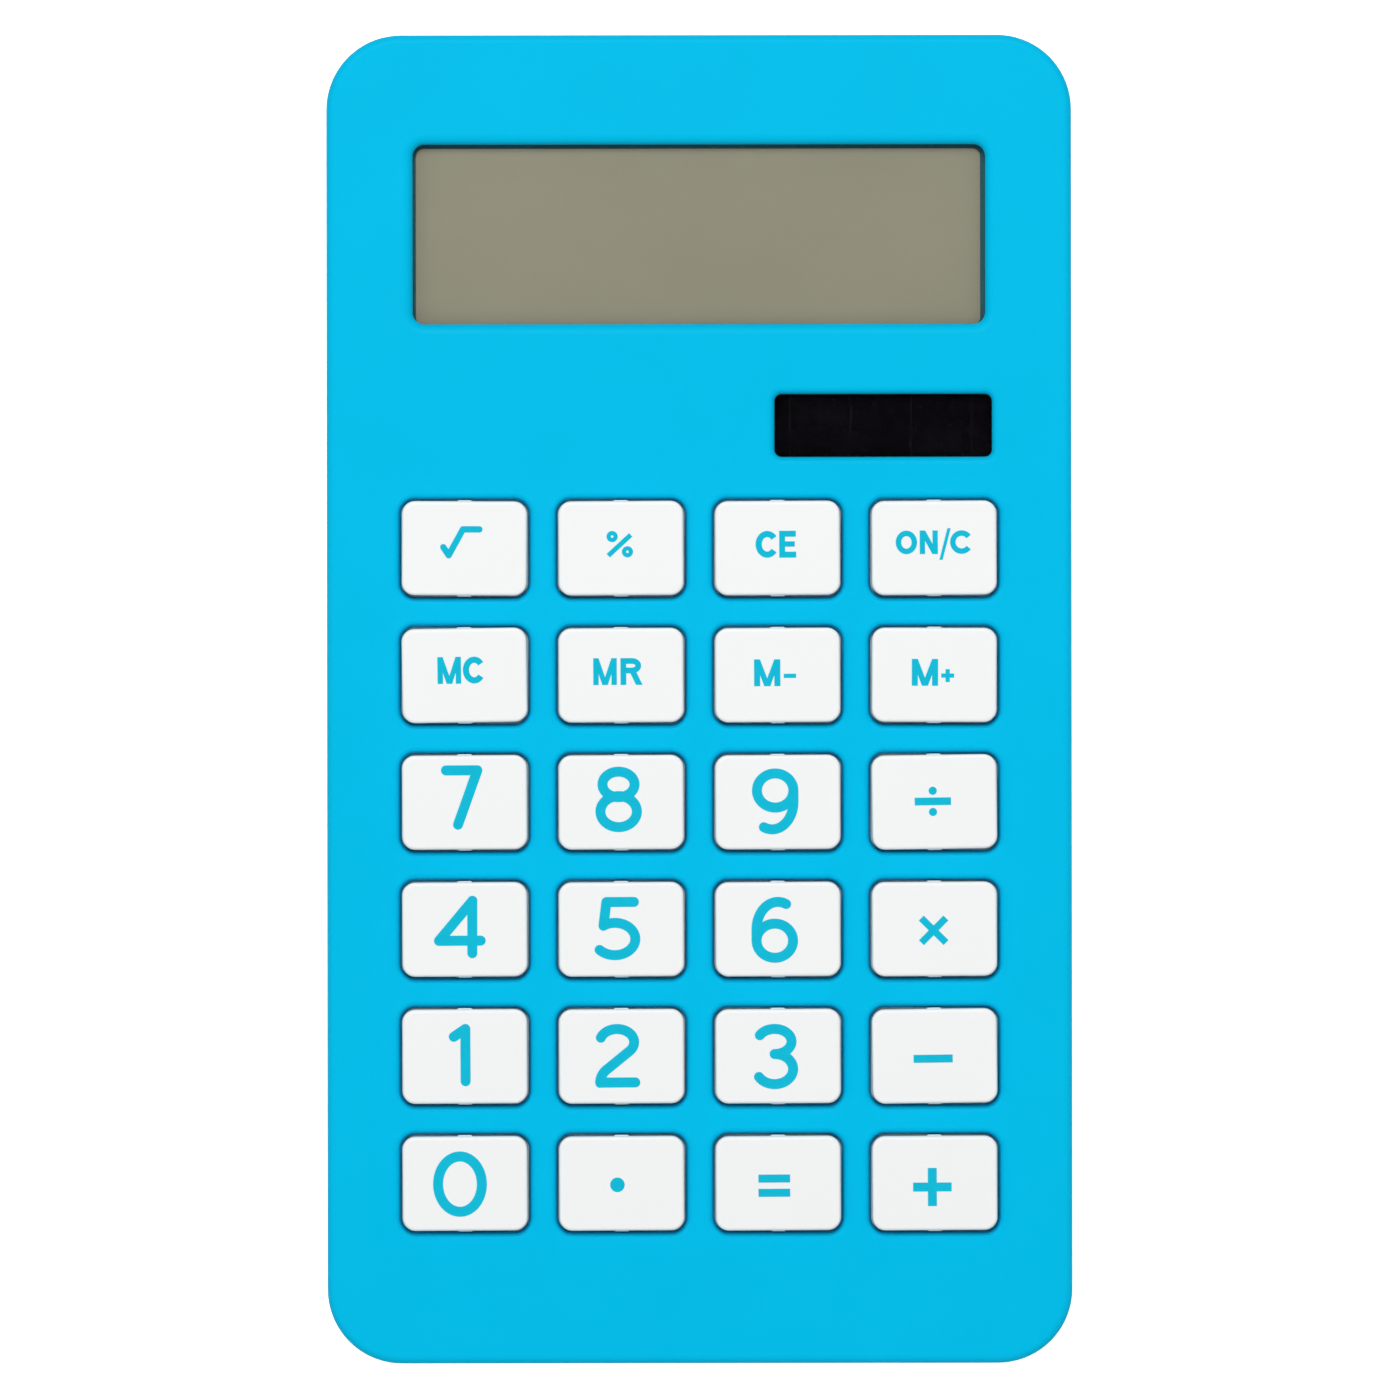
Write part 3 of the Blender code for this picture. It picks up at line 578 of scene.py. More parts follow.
def solar_silicon():
    """Amorphous cell: near black, with fine scribed lines between its strips."""
    colour = (0.0018, 0.0014, 0.0022)
    made, shader = new_material("solar_silicon", colour, 0.14, Specular_IOR_Level=0.08)
    where = object_coordinates(shader)
    lines = striped(where, "X", size_of("solar_cell")[0] / 4)
    edge = spread(lines, 0.0, 0.35, 0.997, 1.0)
    cloud = spread(noise(where, 3 * MM), 0.0, 0.6)
    silicon = blended(cloud, colour, (0.003, 0.0018, 0.004))
    scribed = blended(edge, silicon, (0.012, 0.012, 0.014))
    paint(shader, scribed)
    bumped(shader, lines, 0.003 * MM)
    return made


def board_laminate():
    """Green solder mask, paler along a grid of tracks."""
    mask = (0.020, 0.115, 0.045)
    made, shader = new_material("solder_mask", mask, 0.35)
    where = object_coordinates(shader)
    bricks = shader.id_data.nodes.new("ShaderNodeTexBrick")
    bricks.inputs["Scale"].default_value = 1.0 / (4.3 * MM)
    bricks.inputs["Mortar Size"].default_value = 0.06
    bricks.inputs["Color1"].default_value = (*mask, 1.0)
    bricks.inputs["Color2"].default_value = (*tinted(mask, 0.85), 1.0)
    bricks.inputs["Mortar"].default_value = (*tinted(mask, 1.9), 1.0)
    link(where, bricks.inputs["Vector"])
    cloud = spread(noise(where, 8 * MM), 0.0, 0.25)
    clouded = blended(cloud, bricks.outputs["Color"], tinted(mask, 0.7))
    paint(shader, clouded)
    bumped(shader, bricks.outputs["Fac"], -0.03 * MM)
    return made


def carbon_foil():
    """Amber film with printed carbon conductors across it."""
    amber, carbon = (0.55, 0.33, 0.10), (0.03, 0.03, 0.03)
    made, shader = new_material("carbon_foil", amber, 0.4)
    stripes = striped(object_coordinates(shader), "X", 0.9 * MM)
    prints = spread(stripes, 0.0, 1.0, 0.45, 0.55)
    paint(shader, blended(prints, amber, carbon))
    bumped(shader, prints, 0.02 * MM)
    return made


def open_foam():
    """Grey foam with a cell wall between every two pores; the colour darkens towards each pore's
    hollow, which is painted shade.
    """
    pore_shade, pale = (0.10, 0.10, 0.105), (0.30, 0.30, 0.31)
    made, shader = new_material("grey_foam", (0.22, 0.22, 0.23), 0.95)
    pores = shader.id_data.nodes.new("ShaderNodeTexVoronoi")
    pores.inputs["Scale"].default_value = 1.0 / (0.45 * MM)
    link(object_coordinates(shader), pores.inputs["Vector"])
    depth = pores.outputs["Distance"]
    paint(shader, blended(depth, pore_shade, pale))
    bumped(shader, depth, 0.15 * MM)
    return made


def all_materials():
    """Each finish under its material slot in the record; ink and the teal of the display plates,
    partly painted shade, are extra.
    """
    return {
        "case_plastic": moulded(
            "cyan_soft_touch", (0.0, 0.503, 0.805), 0.42, 0.16, 0.006,
            variation=0.010, Specular_IOR_Level=0.03,
        ),
        "key_plastic": moulded(
            "white_gloss_plastic", (0.905, 0.92, 0.92), 0.30, 0.25, 0.002,
            variation=0.002, gloss_spread=0.01, Specular_IOR_Level=0.3,
        ),
        "ink": moulded(
            "cyan_ink", (0.006, 0.495, 0.685), 0.5, 0.12, 0.004,
            blotch=1.5, Specular_IOR_Level=0.03,
        ),
        "clear_window": clear_plastic(),
        "display_glass": display_glass(),
        # Deep teal for the display's glass plates, seen as a thin border round the polarising film:
        # partly the cell's real sealant, partly painted shade copying the shaded edge of the cyan
        # opening
        "display_seal_and_shade": moulded(
            "display_seal_and_shade", (0.018, 0.115, 0.14), 0.4, 0.3, 0.001, Specular_IOR_Level=0.1,
        ),
        "reflector_film": brushed("reflector_film", (0.80, 0.80, 0.77), 0.28, "X"),
        "natural_plastic": moulded("natural_abs", (0.74, 0.72, 0.66), 0.5, 0.2, 0.006),
        "carbon_foil": carbon_foil(),
        "solar_glass": solar_silicon(),
        "grey_foam": open_foam(),
        "red_insulation": moulded("red_pvc", (0.55, 0.02, 0.015), 0.4, 0.1, 0.002),
        "black_insulation": moulded("black_pvc", (0.02, 0.02, 0.02), 0.4, 0.1, 0.002),
        "silicone": moulded("grey_silicone", (0.45, 0.46, 0.47), 0.6, 0.15, 0.004),
        "board_laminate": board_laminate(),
        "epoxy": moulded("black_epoxy", (0.008, 0.008, 0.008), 0.3, 0.8, 0.03),
        "capacitor_sleeve": moulded("blue_sleeve", (0.02, 0.03, 0.14), 0.35, 0.3, 0.004),
        "diode_glass": moulded("amber_glass", (0.50, 0.16, 0.05), 0.12, 0.5, 0.004),
        "cell_steel": brushed("cell_steel", (0.66, 0.66, 0.65), 0.24, "X"),
        "nickel_spring": brushed("nickel_spring", (0.66, 0.63, 0.56), 0.28, "Y"),
        "screw_steel": brushed("zinc_steel", (0.58, 0.60, 0.62), 0.32, "Y"),
        "foot_rubber": moulded(
            "black_rubber", (0.018, 0.018, 0.019), 0.78, 0.22, 0.02, variation=0.2,
        ),
    }


# ---- case


def opening(size, corner, lip, spring, centre, low_levels):
    """Cutter for a hole up through the deck, whose walls lean out to a rounded lip."""
    width, depth = lip
    levels = list(low_levels)
    for step in range(EDGE_STEPS):
        angle = step / EDGE_STEPS * pi / 2
        levels.append((spring + width * (1 - cos(angle)), DECK_TOP - depth * (1 - sin(angle))))
    just_above = DECK_TOP + OVERRUN / 100
    levels += [(spring + width, z) for z in (just_above, DECK_TOP + OVERRUN)]
    return stacked(size, corner, levels, centre)


def upper_shell(finish):
    """The front case, with its screw bosses under the deck and its openings."""
    inner = -SIDE_WALL - SIDE_DRAFT
    levels = rounded_edge(DECK_EDGE_RADIUS, -SIDE_DRAFT, DECK_TOP, EDGE_STEPS)[::-1]
    levels += [(0.0, RIM_Z[1]), (-SIDE_WALL, RIM_Z[1])]
    levels += [(inner, DECK_UNDERSIDE - OVERRUN), (inner - OVERRUN, DECK_UNDERSIDE)]
    shell = stacked(CASE_SIZE, CASE_CORNER, levels, steps=CORNER_STEPS)
    case = solid("upper_shell", finish, shell)

    groups = (
        ("case_screw", CASE_BOSS_RADIUS, POST_TOP + GAP, CASE_SCREW["shank"]),
        ("board_screw", SMALL_BOSS_RADIUS, BOARD_TOP, SMALL_SHANK),
        ("bracket_screw", SMALL_BOSS_RADIUS, TRAY_FLOOR_TOP + GAP, SMALL_SHANK),
    )
    bosses = []
    cuts = []
    for kind, radius, low_z, shank in groups:
        boss_z = (low_z, DECK_UNDERSIDE + GAP)
        pilot_z = (low_z - OVERRUN, PILOT_TOP)
        for centre in centres_of(kind):
            bosses.append(upright("boss", radius, boss_z, centre))
            cuts.append(upright("pilot", shank + GAP, pilot_z, centre))
    combine(case, "UNION", bosses)

    under = DECK_UNDERSIDE - OVERRUN
    rebate = [(WINDOW_MARGIN, under), (WINDOW_MARGIN, WINDOW_SHELF_Z), (0.0, WINDOW_SHELF_Z)]
    for size, corner, lip, centre in (
        (DISPLAY_SIZE, DISPLAY_CORNER, DISPLAY_LIP, DISPLAY_CENTRE),
        (SOLAR_SIZE, SOLAR_CORNER, SOLAR_LIP, SOLAR_CENTRE),
    ):
        cuts.append(opening(size, corner, lip, 0.0, centre, rebate))
    foot = [(APERTURE_GAP, under), (APERTURE_GAP, DECK_UNDERSIDE)]
    spring = APERTURE_GAP + APERTURE_DRAFT
    for node in KEY_NODES:
        cuts.append(opening(KEY_SIZE, KEY_CORNER, APERTURE_LIP, spring, centre_of(node), foot))
    combine(case, "DIFFERENCE", cuts)
    mount(even_shading(case), "case", "case_plastic", "front_case")


def lower_shell(finish):
    """The rear case: its lip, posts and door stops inside, and its seats, marks and holes."""
    lip = -SIDE_WALL - GAP
    bottom = rounded_edge(BOTTOM_EDGE_RADIUS, -SIDE_DRAFT, 0.0, EDGE_STEPS)[::-1]
    levels = upside_down(bottom, CASE_BOTTOM)
    levels += [(0.0, RIM_Z[0]), (lip, RIM_Z[0]), (lip, LIP_TOP), (lip - LIP_THICKNESS, LIP_TOP)]
    levels += [(lip - LIP_THICKNESS, LIP_FOOT), (-SIDE_WALL, LIP_FOOT - LIP_THICKNESS)]
    levels += [(-BOTTOM_EDGE_RADIUS, FLOOR_TOP)]
    shell = stacked(CASE_SIZE, CASE_CORNER, levels, steps=CORNER_STEPS)
    case = solid("lower_shell", finish, shell)

    buried_z = FLOOR_TOP - GAP
    post_z = (buried_z, POST_TOP)
    posts = [upright("post", POST_RADIUS, post_z, spot) for spot in centres_of("case_screw")]
    for left, right in zip(COLUMNS, COLUMNS[1:]):
        for upper, lower in zip(ROWS[0::2], ROWS[1::2]):
            centre = ((left + right) / 2, (upper + lower) / 2)
            posts.append(upright("support", SUPPORT_RADIUS, post_z, centre))
    turn, back = DOOR_TURN, DOOR_STOP_ANGLE
    stop_radii = (DOOR_RADIUS + GAP * 2, DOOR_LUG_RADII[1] + GAP)
    stop_z = (buried_z, DOOR_LUG_Z[1])
    for middle in (back, -turn - back, pi + back, pi - turn - back):
        posts.append(sector(stop_radii, middle, DOOR_STOP_HALF_ANGLE, stop_z, DOOR_CENTRE))
    combine(case, "UNION", posts)

    below = CASE_BOTTOM - OVERRUN
    cuts = []
    head = CASE_SCREW["head"] + GAP
    shank = CASE_SCREW["shank"] + GAP
    mouth = head + GAP / 2
    bore = ((mouth, below), (mouth, CASE_BOTTOM), (head, CASE_BOTTOM + GAP))
    bore += ((head, COUNTERBORE_TOP), (shank, COUNTERBORE_TOP), (shank, POST_TOP + OVERRUN))
    for centre in centres_of("case_screw"):
        cuts.append(turned(bore, SIDES["counterbore"], centre))
    seat_radius = size_of("foot_1")[0] / 2 + GAP
    seat_z = (below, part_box("foot_1")[1].z + GAP)
    for centre in centres_of("foot"):
        cuts.append(upright("foot_seat", seat_radius, seat_z, centre))
    label = [(0.0, below), (0.0, CASE_BOTTOM + LABEL_DEPTH)]
    cuts.append(stacked(LABEL_SIZE, KEY_CORNER, label, LABEL_CENTRE))
    above = FLOOR_TOP + OVERRUN
    hole = DOOR_RADIUS + GAP
    mouth = hole + GAP
    bore = ((mouth, below), (mouth, CASE_BOTTOM), (hole, CASE_BOTTOM + GAP), (hole, above))
    cuts.append(turned(bore, SIDES["door_hole"], DOOR_CENTRE))
    combine(case, "DIFFERENCE", cuts)
    notch_radii = (DOOR_LUG_RADII[0], DOOR_LUG_RADII[1] + GAP)
    notch = (DOOR_NOTCH_HALF_ANGLE, (below, above), DOOR_CENTRE)
    notches = [sector(notch_radii, middle, *notch) for middle in (-turn, pi - turn)]
    combine(case, "DIFFERENCE", notches + turn_marks(below))
    mount(even_shading(case), "case", "case_plastic", "rear_case")


def turn_marks(below):
    """Sunk marks beside the door: a dot where it is locked and a ring where it comes free."""
    deep = CASE_BOTTOM + MARK_DEPTH
    dot = ((MARK_RADIUS, below), (MARK_RADIUS, deep))
    hoop = (*dot, (MARK_CORE, deep), (MARK_CORE, below))
    marks = []
    for angle, profile in ((pi / 2, dot), (pi / 2 - DOOR_TURN, hoop)):
        marks.append(turned(profile, SIDES["mark"], polar(DOOR_CENTRE, MARK_DISTANCE, angle)))
    return marks


# ---- keys and legends


def keycap_mesh(finish):
    """A hollow cap with its flange, stem and guide nibs, about its own centre at z = 0."""
    levels = [(KEY_FLANGE, KEY_FOOT), (KEY_FLANGE, KEY_FLANGE_TOP), (0.0, KEY_FLANGE_TOP)]
    levels += rounded_edge(KEY_EDGE_RADIUS, 0.0, KEY_TOP, EDGE_STEPS)
    outer = stacked(KEY_SIZE, KEY_CORNER, levels)
    ceiling = KEY_TOP - KEY_ROOF
    hollow = [(-KEY_WALL, ceiling), (-KEY_WALL, KEY_FOOT)]
    inner = stacked(KEY_SIZE, KEY_CORNER, hollow)
    dome_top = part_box("dome_sheet")[1].z
    stem_levels = [(0.0, dome_top + GAP), (0.0, ceiling)]
    stem = stacked((KEY_STEM, KEY_STEM), STEM_CORNER, stem_levels)
    cap = solid("keycap", finish, stem + inner + outer)
    nibs = []
    for side in (-1, 1):
        size = (NIB_SIZE[0], NIB_SIZE[1] + KEY_WALL)
        middle = (0.0, side * (KEY_SIZE[1] / 2 + NIB_SIZE[1] - size[1] / 2))
        slope = [(0.0, NIB_Z[0]), (0.0, NIB_Z[1] - NIB_SIZE[1]), (-NIB_SIZE[1], NIB_Z[1])]
        nibs.append(stacked(size, NIB_CORNER, slope, middle, BEVEL_STEPS))
    combine(cap, "UNION", nibs)
    mesh = cap.data
    bpy.data.objects.remove(cap)
    return mesh


def seat(node):
    """Where a key sits: its place, with the small turn it has in its aperture."""
    x, y = centre_of(node)
    yaw = radians(KEYPAD_YAW + KEY_YAWS.get(node, 0.0))
    return Matrix.Translation((x, y, 0.0)) @ Matrix.Rotation(yaw, 4, "Z")


def arc(centre, radii, start, end, steps):
    """Points along part of an ellipse, from one angle to another in degrees."""
    angles = [radians(start + (end - start) * step / steps) for step in range(steps + 1)]
    return [(centre[0] + radii[0] * cos(a), centre[1] + radii[1] * sin(a)) for a in angles]


def band(path, width):
    """Quads along a path with square ends, as polygons that meet."""
    sides = []
    for before, point, after in zip([path[0], *path], path, [*path[1:], path[-1]]):
        run = (after[0] - before[0], after[1] - before[1])
        scale = width / 2 / hypot(*run)
        across = (-run[1] * scale, run[0] * scale)
        left = (point[0] + across[0], point[1] + across[1])
        sides.append((left, (point[0] - across[0], point[1] - across[1])))
    return [[a[0], a[1], b[1], b[0]] for a, b in zip(sides, sides[1:])]


def stroke(*points, width=PEN):
    """A pen line through the points, with round ends."""
    ends = [circle(width / 2, PEN_SIDES, point) for point in (points[0], points[-1])]
    return band(points, width) + ends


def corners(*points, width=PEN):
    """Straight pen lines from point to point, each with round ends."""
    return [polygon for pair in zip(points, points[1:]) for polygon in stroke(*pair, width=width)]


def slant(start, end, width):
    """A slanting bar whose ends are cut level."""
    half = width / 2
    (x0, y0), (x1, y1) = start, end
    return [[(x0 - half, y0), (x0 + half, y0), (x1 + half, y1), (x1 - half, y1)]]


def bar(start, end, width):
    """A straight line with square ends."""
    return band([start, end], width)


def moved(polygons, x, y=0.0):
    return [[(px + x, py + y) for px, py in polygon] for polygon in polygons]


def nine():
    """The 9, which is also the 6 once it is turned round."""
    loop = arc((0.0, 1.02), (2.0, 1.87), 0, 360, 48)
    tail = [(2.0, 1.02), *arc((-0.35, -0.2), (2.35, 3.03), 0, -113, 30)]
    return stroke(*loop) + stroke(*tail)


def turned_round(polygons):
    return [[(-px, -py) for px, py in polygon] for polygon in polygons]


def stems(side, half, pen):
    return bar((-side, -half), (-side, half), pen) + bar((side, -half), (side, half), pen)


def letter_m(width=2.58, height=2.94, pen=0.59):
    side = width / 2 - pen / 2
    half = height / 2
    notch = slant((-side, half), (0.0, -half), pen) + slant((side, half), (0.0, -half), pen)
    return stems(side, half, pen) + notch


def letter_c(width=2.32, height=2.94, pen=0.68):
    radii = ((width - pen) / 2 * 1.1, (height - pen) / 2)
    shift = (radii[0] * 2 + pen - width) / 2
    return band(arc((shift, 0.0), radii, 37, 323, 40), pen)


def letter_r(width=2.37, height=2.94, pen=0.63):
    left = -width / 2 + pen / 2
    half = height / 2
    bowl_y = half * 0.43
    bowl = [(left, half - pen / 2), (0.05, half - pen / 2)]
    bowl += arc((0.05, bowl_y), (width / 2 - pen / 2 - 0.15, half - pen / 2 - bowl_y), 85, -85, 20)
    bowl += [(0.05, 2 * bowl_y - half + pen / 2), (left, 2 * bowl_y - half + pen / 2)]
    leg = slant((width / 2 - pen / 2, -half), (0.1, 2 * bowl_y - half + pen / 2), pen * 1.15)
    return bar((left, -half), (left, half), pen) + band(bowl, pen) + leg


def letter_e(width=1.86, height=2.94, pen=0.65):
    left = -width / 2 + pen / 2
    half = height / 2
    arms = bar((-width / 2, half - pen / 2), (width / 2 - 0.03, half - pen / 2), pen)
    arms += bar((-width / 2, 0.02), (width / 2 - 0.15, 0.02), pen * 0.9)
    arms += bar((-width / 2, -half + pen / 2), (width / 2, -half + pen / 2), pen)
    return arms + bar((left, -half), (left, half), pen)


def letter_o(width=2.34, height=2.58, pen=0.6):
    radii = ((width - pen) / 2, (height - pen) / 2)
    return stroke(*arc((0.0, 0.0), radii, 0, 360, 48), width=pen)


def letter_n(width=1.98, height=2.58, pen=0.58):
    side = width / 2 - pen / 2
    half = height / 2
    return stems(side, half, pen) + slant((-side, half), (side, -half), pen * 1.1)


def small_plus(x, y, reach=0.71, pen=0.46):
    return bar((x - reach, y), (x + reach, y), pen) + bar((x, y - reach), (x, y + reach), pen)


def legends():
    """The polygons of each key's legend, in millimetres about the key's centre."""
    upper_8 = arc((0.07, 1.56), (1.76, 1.4), 0, 360, 40)
    lower_8 = arc((0.07, -1.42), (2.0, 1.7), 0, 360, 40)
    bowl_5 = arc((-0.37, -1.45), (2.25, 1.77), 122, -138, 36)
    top_2 = arc((-0.13, 1.57), (1.88, 1.44), 160, -42, 28)
    foot_2 = arc((0.05, -2.88), (2.05, 1.9), 135, 180, 10)
    upper_3 = arc((-0.08, 1.62), (1.86, 1.38), 150, -90, 30)
    lower_3 = arc((-0.08, -1.40), (2.02, 1.65), 90, -149, 34)
    ring_low = arc((1.07, -0.81), (0.38, 0.38), 0, 360, 24)
    ring_high = arc((-0.60, 0.87), (0.38, 0.38), 0, 360, 24)
    return {
        "0": stroke(*arc((-0.1, -0.04), (2.4, 3.03), 0, 360, 56)),
        "1": corners((-0.75, 2.18), (0.52, 3.04), (0.52, -2.7)),
        "2": stroke(*top_2, *foot_2) + corners((-2.0, -2.85), (1.85, -2.85)),
        "3": stroke(*upper_3) + stroke(*lower_3),
        "4": corners((1.32, 2.75), (-2.38, -1.62), (2.2, -1.62))
        + stroke((1.3, 2.75), (1.27, -3.0)),
        "5": corners((1.75, 2.6), (-1.27, 2.6), (-1.6, 0.0)) + stroke(*bowl_5),
        "6": moved(turned_round(nine()), -0.05, -0.64),
        "7": corners((-1.57, 3.12), (1.88, 3.12), (-0.28, -2.83)),
        "8": stroke(*upper_8) + stroke(*lower_8),
        "9": moved(nine(), 0.02, -0.15),
        "point": [circle(0.8, 32, (-0.11, -0.14))],
        "plus": bar((-2.29, -0.42), (1.93, -0.42), 0.98)
        + bar((-0.18, -2.51), (-0.18, 1.67), 0.98),
        "minus": bar((-2.22, -0.28), (2.07, -0.28), 0.87),
        "equals": bar((-1.87, 0.53), (1.61, 0.53), 0.88)
        + bar((-1.87, -1.03), (1.61, -1.03), 0.88),
        "multiply": bar((-1.35, -1.9), (1.35, 0.8), 0.77)
        + bar((-1.35, 0.8), (1.35, -1.9), 0.77),
        "divide": bar((-2.06, -0.34), (1.92, -0.34), 0.84)
        + [circle(0.45, 24, (-0.07, 0.82)), circle(0.45, 24, (-0.07, -1.5))],
        "sqrt": corners((-1.85, -0.28), (-1.25, -1.17), (0.3, 1.68), (2.1, 1.68), width=0.7),
        "percent": bar((-1.04, -1.22), (1.44, 1.04), 0.53)
        + stroke(*ring_low, width=0.47) + stroke(*ring_high, width=0.47),
        "ce": moved(letter_c(2.38), -0.91) + moved(letter_e(), 1.42),
        "mc": moved(letter_m(), -1.2, 0.17) + moved(letter_c(), 1.45, 0.17),
        "mr": moved(letter_m(), -1.4) + moved(letter_r(), 1.48),
        "m_plus": moved(letter_m(2.88, pen=0.66), -0.92, -0.13) + small_plus(1.57, -0.48),
        "m_minus": moved(letter_m(2.88, pen=0.66), -0.84, -0.15)
        + bar((0.97, -0.5), (2.32, -0.5), 0.46),
        "on_c": moved(letter_o() + moved(letter_n(), 2.45), -2.93, 0.2)
        + slant((0.85, -1.73), (1.75, 1.73), 0.36) + moved(letter_c(2.35, 2.58, 0.6), 3.03, 0.2),
    }


def keys(finishes):
    cap = keycap_mesh(finishes["key_plastic"])
    shapes = legends()
    heights = (KEY_TOP - LEGEND_SINK, KEY_TOP + LEGEND_TOP)
    for node in KEY_NODES:
        short = node.removeprefix("key_")
        mesh = cap.copy()
        mesh.transform(seat(node))
        obj = place("keycap_" + short, mesh, finishes["key_plastic"])
        mount(even_shading(obj), node, "key_plastic", node)
        x, y = centre_of(node)
        shift_x = COLUMN_SHIFTS[COLUMNS.index(round(x, 4))]
        shift_y = UPPER_ROW_SHIFT if ROWS.index(y) < UPPER_ROWS else 0.0
        mesh = sheet_of("legend_" + short, moved(shapes[short], shift_x, shift_y), *heights)
        mesh.transform(seat(node))
        mount(place("legend_" + short, mesh, finishes["ink"]), node, "case_plastic")


def domes(finish):
    """The rubber sheet with a hole under each key, and over each a dome that gives when pressed."""
    low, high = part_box("dome_sheet")
    levels = [(0.0, low.z), (0.0, WEB_TOP)]
    rings = stacked(size_of("dome_sheet"), WEB_CORNER, levels, centre_of("dome_sheet"))
    web = solid("dome_web", finish, rings)
    hole = DOME_BASE_RADIUS - DOME_SKIN
    bore_z = (low.z - OVERRUN, WEB_TOP + OVERRUN)
    bores = [upright("dome", hole, bore_z, centre_of(node)) for node in KEY_NODES]
    combine(web, "DIFFERENCE", bores)
    mount(web, "case", "silicone", "dome_sheet")
    profile = (
        (DOME_TOP_RADIUS - DOME_SKIN / 2, high.z - DOME_SKIN),
        (hole, WEB_TOP - GAP),
        (DOME_BASE_RADIUS, WEB_TOP - GAP),
        (DOME_BASE_RADIUS, WEB_TOP),
        (DOME_TOP_RADIUS + DOME_EDGE, high.z - DOME_EDGE),
        (DOME_TOP_RADIUS, high.z),
    )
    for node in KEY_NODES:
        centre = centre_of(node)
        name = "dome_" + node.removeprefix("key_")
        obj = solid(name, finish, turned(profile, SIDES["dome"], centre))
        mount(obj, "case", "silicone")
        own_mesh(obj)


# ---- windows, door, screws and feet


def windows(finish):
    """The two clear panes, with bevelled edges; they cast no shadow on what lies behind them."""
    for name, node, corner in (
        ("display_pane", "display_window", DISPLAY_CORNER),
        ("solar_pane", "solar_window", SOLAR_CORNER),
    ):
        low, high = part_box(node)
        levels = [(-WINDOW_BEVEL, low.z), (0.0, low.z + WINDOW_BEVEL)]
        levels += rounded_edge(WINDOW_BEVEL, 0.0, high.z, BEVEL_STEPS)
        corner += WINDOW_MARGIN - GAP
        rings = stacked(size_of(node), corner, levels, centre_of(node))
        pane = solid(name, finish, rings)
        pane.visible_shadow = False
        pane.visible_diffuse = False
        mount(even_shading(pane), "case", "clear_window", node)


def display_stack(finish, seal_and_shade):
    """Two glass plates, the lower one longer, under a polarising film. The plates are deep teal,
    shown as a thin border round the film: partly the cell's sealant, partly painted shade.
    """
    low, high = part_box("lcd_panel")
    size = size_of("lcd_panel")
    x, y = centre_of("lcd_panel")
    film_low = high.z - POLARISER_THICKNESS
    middle = (low.z + film_low) / 2
    upper = (size[0], size[1] - LCD_LEDGE)
    upper_centre = (x, y + LCD_LEDGE / 2)
    film_top = DISPLAY_CENTRE[1] + DISPLAY_SIZE[1] / 2 - POLARISER_TOP_INSET
    film_foot = DISPLAY_CENTRE[1] - DISPLAY_SIZE[1] / 2 - POLARISER_FOOT_OUTSET
    film = (POLARISER_WIDTH, film_top - film_foot)
    film_centre = (x + POLARISER_SHIFT, (film_top + film_foot) / 2)
    for name, plate, corner, heights, centre, look in (
        ("display_lower_glass", size, GAP, (low.z, middle), (x, y), seal_and_shade),
        ("display_upper_glass", upper, GAP, (middle, film_low), upper_centre, seal_and_shade),
        ("display_polariser", film, POLARISER_CORNER, (film_low, high.z), film_centre, finish),
    ):
        rings = stacked(plate, corner, [(0.0, z) for z in heights], centre)
        nodes = ["lcd_panel"] if plate is upper else []
        mount(solid(name, look, rings), "case", "display_glass", *nodes)


def solar_plate(finish):
    """The solar cell's glass, with ground edges."""
    low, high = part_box("solar_cell")
    levels = [(0.0, low.z), (0.0, high.z - SOLAR_BEVEL), (-SOLAR_BEVEL, high.z)]
    rings = stacked(size_of("solar_cell"), GAP, levels, centre_of("solar_cell"), steps=2)
    mount(solid("solar_plate", finish, rings), "case", "solar_glass", "solar_cell")


def door(finish):
    """Turned cup with a coin slot, a rim groove and a pointer, in its locked place."""
    levels = [(0.0, CASE_BOTTOM + COIN_SLOT_DEPTH), (0.0, CASE_BOTTOM + GAP / 2)]
    levels.append((GAP / 2, CASE_BOTTOM))
    slot = stacked(COIN_SLOT, COIN_SLOT_CORNER, levels, DOOR_CENTRE, SIDES["lid"] // 4 - 1)
    cup_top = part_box("battery_door")[1].z
    inner, outer = DOOR_CUP_RADII
    groove = [DOOR_RADIUS - inset for inset in DOOR_GROOVE]
    profile = (
        (groove[0], CASE_BOTTOM),
        (groove[0], CASE_BOTTOM + MARK_DEPTH),
        (groove[1], CASE_BOTTOM + MARK_DEPTH),
        (groove[1], CASE_BOTTOM),
        (DOOR_RADIUS - GAP, CASE_BOTTOM),
        (DOOR_RADIUS, CASE_BOTTOM + GAP),
        (DOOR_RADIUS, DOOR_PLATE_TOP),
        (outer, DOOR_PLATE_TOP),
        (outer, cup_top),
        (inner, cup_top),
        (inner, DOOR_PLATE_TOP),
    )
    lid = solid("battery_lid", finish, slot + turned(profile, SIDES["lid"], DOOR_CENTRE))
    lug = (DOOR_LUG_HALF_ANGLE, DOOR_LUG_Z, DOOR_CENTRE)
    combine(lid, "UNION", [sector(DOOR_LUG_RADII, middle, *lug) for middle in (0.0, pi)])
    x, y = DOOR_CENTRE
    tip = y + DOOR_RADIUS - POINTER_INSET
    half, length = POINTER_SIZE[0] / 2, POINTER_SIZE[1]
    pointer = [(x, tip), (x - half, tip - length), (x + half, tip - length)]
    heights = (CASE_BOTTOM - OVERRUN, CASE_BOTTOM + MARK_DEPTH)
    combine(lid, "DIFFERENCE", [[ring(pointer, z) for z in heights]])
    mount(even_shading(lid), "battery_door", "case_plastic", "battery_door")


